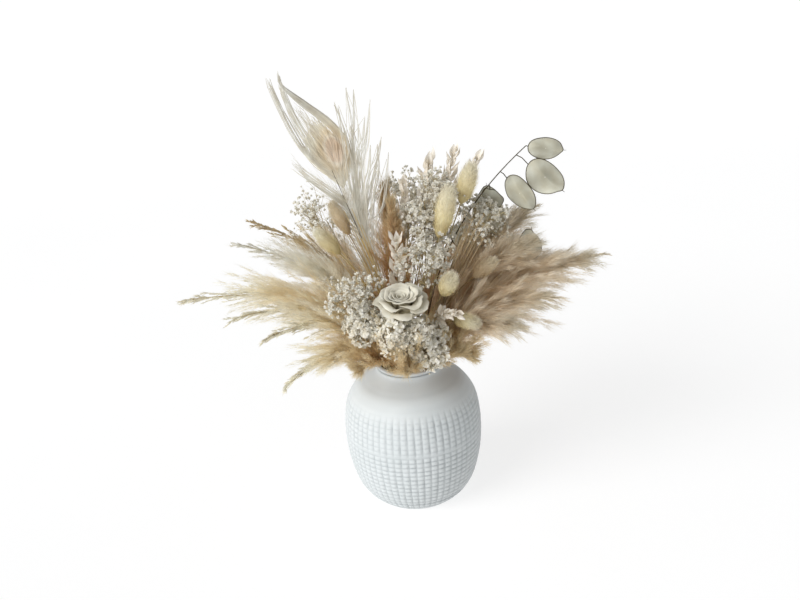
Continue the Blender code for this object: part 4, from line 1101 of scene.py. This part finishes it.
def pod(mesh, rng, root, heading, facing, twig, length):
    """A papery oval with a wire rim, a bristle at its tip and clouded, folded skin."""
    across = unit(np.cross(heading, facing))
    normal = np.cross(heading, across)
    half, wide = length / 2, length * POD_HALF_WIDTH_SHARE
    centre = root + heading * (twig + half)
    r = np.linspace(0.02, 1, POD_RINGS)[:, None]
    turn = full_turn(POD_SIDES)[None]
    phase = rng.uniform(0, 6, 6)
    outline = 1 + 0.06 * np.sin(2 * turn + phase[0]) + 0.05 * np.sin(3 * turn + phase[1])
    outline = outline + 0.07 * np.exp(-((np.minimum(turn, 2 * np.pi - turn) / 0.25) ** 2))
    u, v = r * np.cos(turn) * outline, r * np.sin(turn) * outline
    fold = rng.uniform(0.25, 0.50) * np.abs(v - rng.uniform(-0.3, 0.3) - 0.2 * u)
    ripple = 0.05 * np.sin(5 * u + phase[2]) + 0.04 * np.sin(7 * v + 3 * u + phase[3]) * r
    disc = (
        centre + heading * (half * u)[..., None]
        + across * (wide * v * (1 - 0.14 * u))[..., None]
        + normal * (half * (fold + ripple))[..., None]
    )
    cloud = 0.5 + 0.35 * (
        np.sin(2.3 * u + 1.7 * v + phase[4]) + 0.4 * np.sin(5 * v - 3 * u + phase[5])
    )
    mesh.add(disc, cloud, 0.35 * r, closed=True)
    edge = np.vstack([disc[-1], disc[-1][:1]])[None]
    strands(mesh, edge, 0.00042, 5, 0.3, 0.8, facing=normal)
    tip = disc[-1, 0]
    bristle = np.stack([tip, tip + heading * 0.003])[None]
    strands(mesh, bristle, (0.0004, 0.00015), 4, 0.4, 1.0, rng=rng)
    foot = disc[-1, POD_SIDES // 2]
    stalk = np.stack([root, (root + foot) / 2 + UP * twig * 0.12, foot])[None]
    strands(mesh, stalk, 0.0005, 5, 0.4, 1.0, rng=rng)


def honesty(name, line, pods):
    rng, mesh = start_piece(name, line, line.length, 0.0009, 0.0005)
    for number, (back, azimuth, lean, twig, length) in enumerate(pods):
        facing = np.array([rng.uniform(-0.4, 0.4), -1, rng.uniform(0.0, 0.5)])
        root = line.point(line.length - (back if number else 0.0))
        pod(mesh, rng, root, direction(azimuth, lean), facing, twig, length)
    return mesh


# Feather: in its own upright plane, as (x, z), with the shaft's line giving the depth

EYE_CENTRE = (-0.057, 0.368)
EYE_HALF_WIDTH = 0.0085
EYE_HALF_HEIGHT = 0.0125
# Sheets of barbs: two edge barbs as points from the shaft to the tip, barbs, bunches, half widths
# at the foot and at the tip, and how much the barbs of a bunch wander
BARB_SHEETS = (
    (((-0.051, 0.337), (-0.042, 0.356), (-0.043, 0.376), (-0.057, 0.396), (-0.081, 0.416),
      (-0.101, 0.433), (-0.104, 0.447)),
     ((-0.061, 0.372), (-0.057, 0.377), (-0.058, 0.386), (-0.069, 0.398), (-0.086, 0.413),
      (-0.099, 0.429), (-0.102, 0.438)),
     96, 6, 0.00050, 0.00022, 0.0004),
    (((-0.053, 0.341), (-0.071, 0.350), (-0.086, 0.364), (-0.100, 0.388), (-0.110, 0.418),
      (-0.117, 0.442)),
     ((-0.055, 0.345), (-0.070, 0.356), (-0.083, 0.371), (-0.094, 0.394), (-0.105, 0.421),
      (-0.112, 0.443)),
     26, 3, 0.00042, 0.00022, 0.0005),
    (((-0.057, 0.350), (-0.073, 0.362), (-0.086, 0.377), (-0.095, 0.396), (-0.101, 0.417),
      (-0.105, 0.436)),
     ((-0.058, 0.355), (-0.070, 0.367), (-0.080, 0.382), (-0.089, 0.401), (-0.097, 0.421),
      (-0.103, 0.444)),
     26, 3, 0.00042, 0.00022, 0.0006),
    (((-0.060, 0.360), (-0.070, 0.371), (-0.079, 0.386), (-0.087, 0.401), (-0.092, 0.416)),
     ((-0.061, 0.369), (-0.066, 0.380), (-0.072, 0.392), (-0.080, 0.404), (-0.088, 0.417)),
     18, 9, 0.00040, 0.00012, 0.0012),
    (((-0.051, 0.330), (-0.062, 0.340), (-0.075, 0.350), (-0.084, 0.364), (-0.088, 0.376)),
     ((-0.061, 0.369), (-0.062, 0.376), (-0.065, 0.385), (-0.070, 0.394), (-0.077, 0.403)),
     120, 120, 0.00060, 0.00024, 0.0012),
    (((-0.051, 0.332), (-0.046, 0.342), (-0.043, 0.352), (-0.043, 0.362), (-0.044, 0.370)),
     ((-0.061, 0.369), (-0.062, 0.376), (-0.065, 0.385), (-0.069, 0.394), (-0.076, 0.404)),
     110, 110, 0.00060, 0.00024, 0.0010),
    (((-0.050, 0.322), (-0.068, 0.336), (-0.087, 0.353), (-0.102, 0.370)),
     ((-0.048, 0.310), (-0.064, 0.323), (-0.083, 0.338), (-0.099, 0.354)),
     26, 7, 0.00040, 0.00018, 0.0010),
)
# Loose threads on the right, which meet in points: foot, tip
LOOSE = (
    ((-0.044, 0.356), (-0.053, 0.414)), ((-0.042, 0.350), (-0.050, 0.410)),
    ((-0.038, 0.354), (-0.041, 0.426)), ((-0.037, 0.354), (-0.034, 0.424)),
    ((-0.032, 0.349), (-0.019, 0.413)), ((-0.025, 0.338), (-0.011, 0.377)),
    ((-0.019, 0.310), (-0.005, 0.362)), ((-0.035, 0.352), (-0.025, 0.399)),
    ((-0.024, 0.328), (-0.015, 0.370)), ((-0.021, 0.321), (-0.016, 0.351)),
    ((-0.040, 0.340), (-0.040, 0.390)), ((-0.030, 0.330), (-0.022, 0.370)),
)
THREADS_IN_BUNCH = 6
DOWN_FROM, DOWN_TO = 0.38, 0.68
DOWN_BARBS = 800


def through_points(rows, steps):
    """Smooth curves (n, steps, 2) through rows of points (n, m, 2)."""
    m = rows.shape[1]
    before, after = 2 * rows[:, :1] - rows[:, 1:2], 2 * rows[:, -1:] - rows[:, -2:-1]
    padded = np.concatenate([before, rows, after], axis=1)
    place = np.linspace(0, m - 1, steps)
    i = np.minimum(place.astype(int), m - 2)
    t = (place - i)[None, :, None]
    a, b, c, d = (padded[:, i + k] for k in range(4))
    return 0.5 * (
        2 * b + (c - a) * t + (2 * a - 5 * b + 4 * c - d) * t * t + (3 * b - a - 3 * c + d) * t**3
    )


def lift_plane(flat, line, rng, waver):
    """Flat curves (n, k, 2) set at the shaft's own depth, with a slow waver out of the plane."""
    n, k, _ = flat.shape
    depth = np.interp(flat[..., 1], line.points[:, 2], line.points[:, 1])
    t = np.linspace(0, 1, k)[None]
    depth = depth + rng.normal(size=(n, 1)) * waver * t * 3
    depth = depth + waver * np.sin(t * 5 + rng.uniform(0, 6, (n, 1))) * t
    return np.stack([flat[..., 0], depth, flat[..., 1]], axis=-1)


def eye_share(curves):
    """0 in the eye's middle, 0.5 at its inner rim, and 1 well outside it."""
    across = (curves[..., 0] - EYE_CENTRE[0]) / EYE_HALF_WIDTH
    up = (curves[..., 2] - EYE_CENTRE[1]) / EYE_HALF_HEIGHT
    lean = across + up * 0.25
    return np.clip(np.hypot(lean, up) * 0.5, 0, 2) / 2


FEATHER_FACING = np.array([0.0, -1.0, 0.35])


def barb_sheet(mesh, line, outer, inner, count, bunches, thick, thin, wander, rng):
    """Barbs that start side by side between two edge barbs and end in bunches."""
    u = rng.uniform(0, 1, count)
    middle = (np.floor(u * bunches) + 0.5) / bunches
    way = np.linspace(0, 1, len(outer))[None, :, None]
    gather = np.clip(way * 1.8, 0, 1)
    place = u[:, None, None] * (1 - gather) + middle[:, None, None] * gather
    rows = np.array(outer)[None] * (1 - place) + np.array(inner)[None] * place
    rows = rows + rng.normal(size=(count, len(outer), 2)) * wander * (0.3 + way)
    last = rows[:, -1] - rows[:, -2]
    cut = rng.uniform(0.0, 0.7, (count, 1))
    rows[:, -1] = rows[:, -1] * 0.92 + rows[:, -2] * 0.08 - last * cut
    curves = lift_plane(through_points(rows, 20), line, rng, 0.0006)
    widths = np.linspace(thick, thin, 20) * rng.uniform(0.7, 1.2, (count, 1))
    strands(mesh, curves, widths, 2, rng.uniform(0.1, 0.9, count), along=eye_share(curves),
            facing=FEATHER_FACING + rng.normal(size=(count, 1, 3)) * 0.10)


def loose_barbs(mesh, line, rng):
    """Long threads beside the eye, bunched to points."""
    ends = np.repeat(np.array(LOOSE), THREADS_IN_BUNCH, axis=0)
    n = len(ends)
    feet = ends[:, 0] + rng.normal(size=(n, 2)) * np.array([0.0026, 0.0060])
    low = line.point(line.length * rng.uniform(0.44, 0.60, n))[:, [0, 2]]
    tips = ends[:, 1] - (ends[:, 1] - feet) * rng.uniform(0.0, 0.25, (n, 1)) ** 1.5
    middles = (feet + tips) / 2 + (feet - ends[:, 0]) * 0.25 + np.array([0.0015, 0.0])
    flat = through_points(np.stack([low, feet, middles, tips], axis=1), 16)
    curves = lift_plane(flat, line, rng, 0.0016)
    strands(mesh, curves, np.linspace(0.00042, 0.00030, 16), 2, rng.uniform(0.2, 0.9, n),
            along=0.95, facing=FEATHER_FACING + rng.normal(size=(n, 1, 3)) * 0.3)


def down(mesh, line, side, spread, share_of_length, rng):
    """Thin soft barbs low on one side of the shaft."""
    n = DOWN_BARBS // 2
    starts = line.length * rng.uniform(DOWN_FROM, DOWN_TO, n)
    forward, sideways, upward = line.frames(starts)
    lateral = sideways * side
    heading = swing(forward, lateral, np.radians(rng.uniform(*spread, n)))
    heading = heading + upward * rng.normal(size=(n, 1)) * 0.22
    lengths = rng.uniform(0.016, 0.060, n) * share_of_length
    bends = forward * 0.15 - lateral * 0.10 + rng.normal(size=(n, 3)) * 0.12
    curves = arcs(line.point(starts), heading, lengths, bends, 10)
    strands(mesh, curves, np.linspace(0.00018, 0.00008, 10), 2, rng.uniform(0.2, 1, n),
            along=0.95, rng=rng)


def feather(line):
    rng, mesh = start_piece("feather", line, line.length * 0.80, 0.0010, 0.0003, steps=50)
    for sheet in BARB_SHEETS:
        barb_sheet(mesh, line, *sheet, rng)
    loose_barbs(mesh, line, rng)
    down(mesh, line, 1, (4, 44), 1.0, rng)
    down(mesh, line, -1, (14, 56), 0.72, rng)
    return mesh


# Stage

# The floor and its raised rim, a plain sweep all round: height and radius
SWEEP = ((0.0, 0.02), (0.0, 3.0), (0.0, 7.0), (0.08, 7.8), (0.35, 8.4), (0.80, 8.8), (1.4, 9.0))
SWEEP_SIDES = 96
# The floor is a light table, so that shadows on it are faint
FLOOR_GLOW = 0.75
# Soft lights: name, direction it comes from, strength, how wide it is in degrees
LAMPS = (("window", (-0.92, -0.62, 0.66), 2.95, 40), ("front_fill", (-0.20, -1.0, 0.35), 0.30, 50))
WORLD_COLOUR, WORLD_STRENGTH = (0.97, 0.985, 1.0, 1.0), 0.34


def make_floor():
    points = turned(*np.array(SWEEP).T, full_turn(SWEEP_SIDES)).reshape(-1, 3)
    quads = grid_quads(1, len(SWEEP), SWEEP_SIDES, closed=True)
    data = bpy.data.meshes.new("floor")
    data.from_pydata(points.tolist(), [], quads.tolist())
    data.shade_smooth()
    shader = Shader("pale_floor")
    shader.feed(shader.body, {
        "Base Color": shader.clouds(1.5, ((140, 140, 140), (144, 144, 144))), "Roughness": 0.9,
        "Emission Color": (1.0, 1.0, 1.0, 1.0), "Emission Strength": FLOOR_GLOW,
    })
    data.materials.append(shader.material)
    floor = bpy.data.objects.new("floor", data)
    bpy.context.scene.collection.objects.link(floor)


def make_light():
    world = bpy.data.worlds.new("studio")
    bpy.context.scene.world = world
    world.use_nodes = True
    background = world.node_tree.nodes["Background"]
    background.inputs["Color"].default_value = WORLD_COLOUR
    background.inputs["Strength"].default_value = WORLD_STRENGTH
    for name, place, energy, spread in LAMPS:
        light = bpy.data.lights.new(name, "SUN")
        light.energy = energy
        light.angle = math.radians(spread)
        lamp = bpy.data.objects.new(name, light)
        lamp.rotation_euler = (-Vector(place)).to_track_quat("-Z", "Y").to_euler()
        bpy.context.scene.collection.objects.link(lamp)
    bpy.context.scene.view_settings.view_transform = "Standard"


# Camera of the photograph: place, focal length in pixels, pitch and yaw in radians, roll
CAMERA_PLACE = (0.0, -0.9093, 0.605)
FOCAL_PIXELS = 992.0
IMAGE_WIDTH = 800
SENSOR_WIDTH = 36
PITCH = 0.4024
YAW = -0.005
ROLL = math.radians(4.2)


def make_camera():
    level = Vector((math.sin(YAW), math.cos(YAW), 0))
    forward = level * math.cos(PITCH) + Vector((0, 0, -math.sin(PITCH)))
    up = level * math.sin(PITCH) + Vector((0, 0, math.cos(PITCH)))
    right = Vector((math.cos(YAW), -math.sin(YAW), 0))
    c, s = math.cos(ROLL), math.sin(ROLL)
    camera = bpy.data.cameras.new("camera")
    camera.sensor_width = SENSOR_WIDTH
    camera.lens = FOCAL_PIXELS * camera.sensor_width / IMAGE_WIDTH
    holder = bpy.data.objects.new("camera", camera)
    place = Matrix((c * right - s * up, s * right + c * up, -forward)).transposed().to_4x4()
    place.translation = Vector(CAMERA_PLACE)
    holder.matrix_world = place
    bpy.context.scene.collection.objects.link(holder)
    bpy.context.scene.camera = holder


# Which material a piece has, by the start of its name, where it isn't its slot's own
TONES = {
    "plume_left_7": "plume_gold", "plume_right_6": "plume_gold", "plume_left_2": "plume_tan",
    "plume_left_3": "plume_pale", "plume_left": "plume_left", "plume_front": "plume_gold",
    "plume_centre": "plume_centre", "plume_right": "plume_right", "plume_back": "plume_right",
    "bunny_tail_5": "bunny_tan", "bunny_tail_6": "bunny_tan",
}
# The part's tables, what builds their pieces, the end of the pieces' names and their slot
KINDS = (
    (BUNNY_TAILS, bunny_tail, "_head", "bunny"),
    (FLORET_HEADS, floret_head, "_florets", "floret"),
    (HONESTY, honesty, "_pods", "pod"),
    (SPRIGS, sprig, "_leaves", "leaf"),
    (SPRAYS, spray, "_cloud", "blossom"),
    (PLUMES, plume, "_fluff", "plume"),
)


def make_object():
    materials = {name: plant_material(name) for name in PALETTE}
    lines = lay_lines()
    ribbed_vase()
    foam = frame["nodes"]["dry_foam"].data.materials
    foam.clear()
    foam.append(foam_material())
    for table, build, ending, slot in KINDS:
        for name, (_, _, *sizes) in table.items():
            tone = next((TONES[start] for start in TONES if name.startswith(start)), slot)
            mesh = build(name, lines[name], *sizes)
            finish_piece(mesh, name + ending, materials[tone], slot, name)
    finish_piece(rose(lines["rose"]), "rose_bloom", materials["rose"], "rose", "rose")
    vane = feather(lines["peacock_feather"])
    finish_piece(vane, "feather_vane", materials["feather"], "feather", "peacock_feather")


make_object()
make_floor()
make_light()
make_camera()
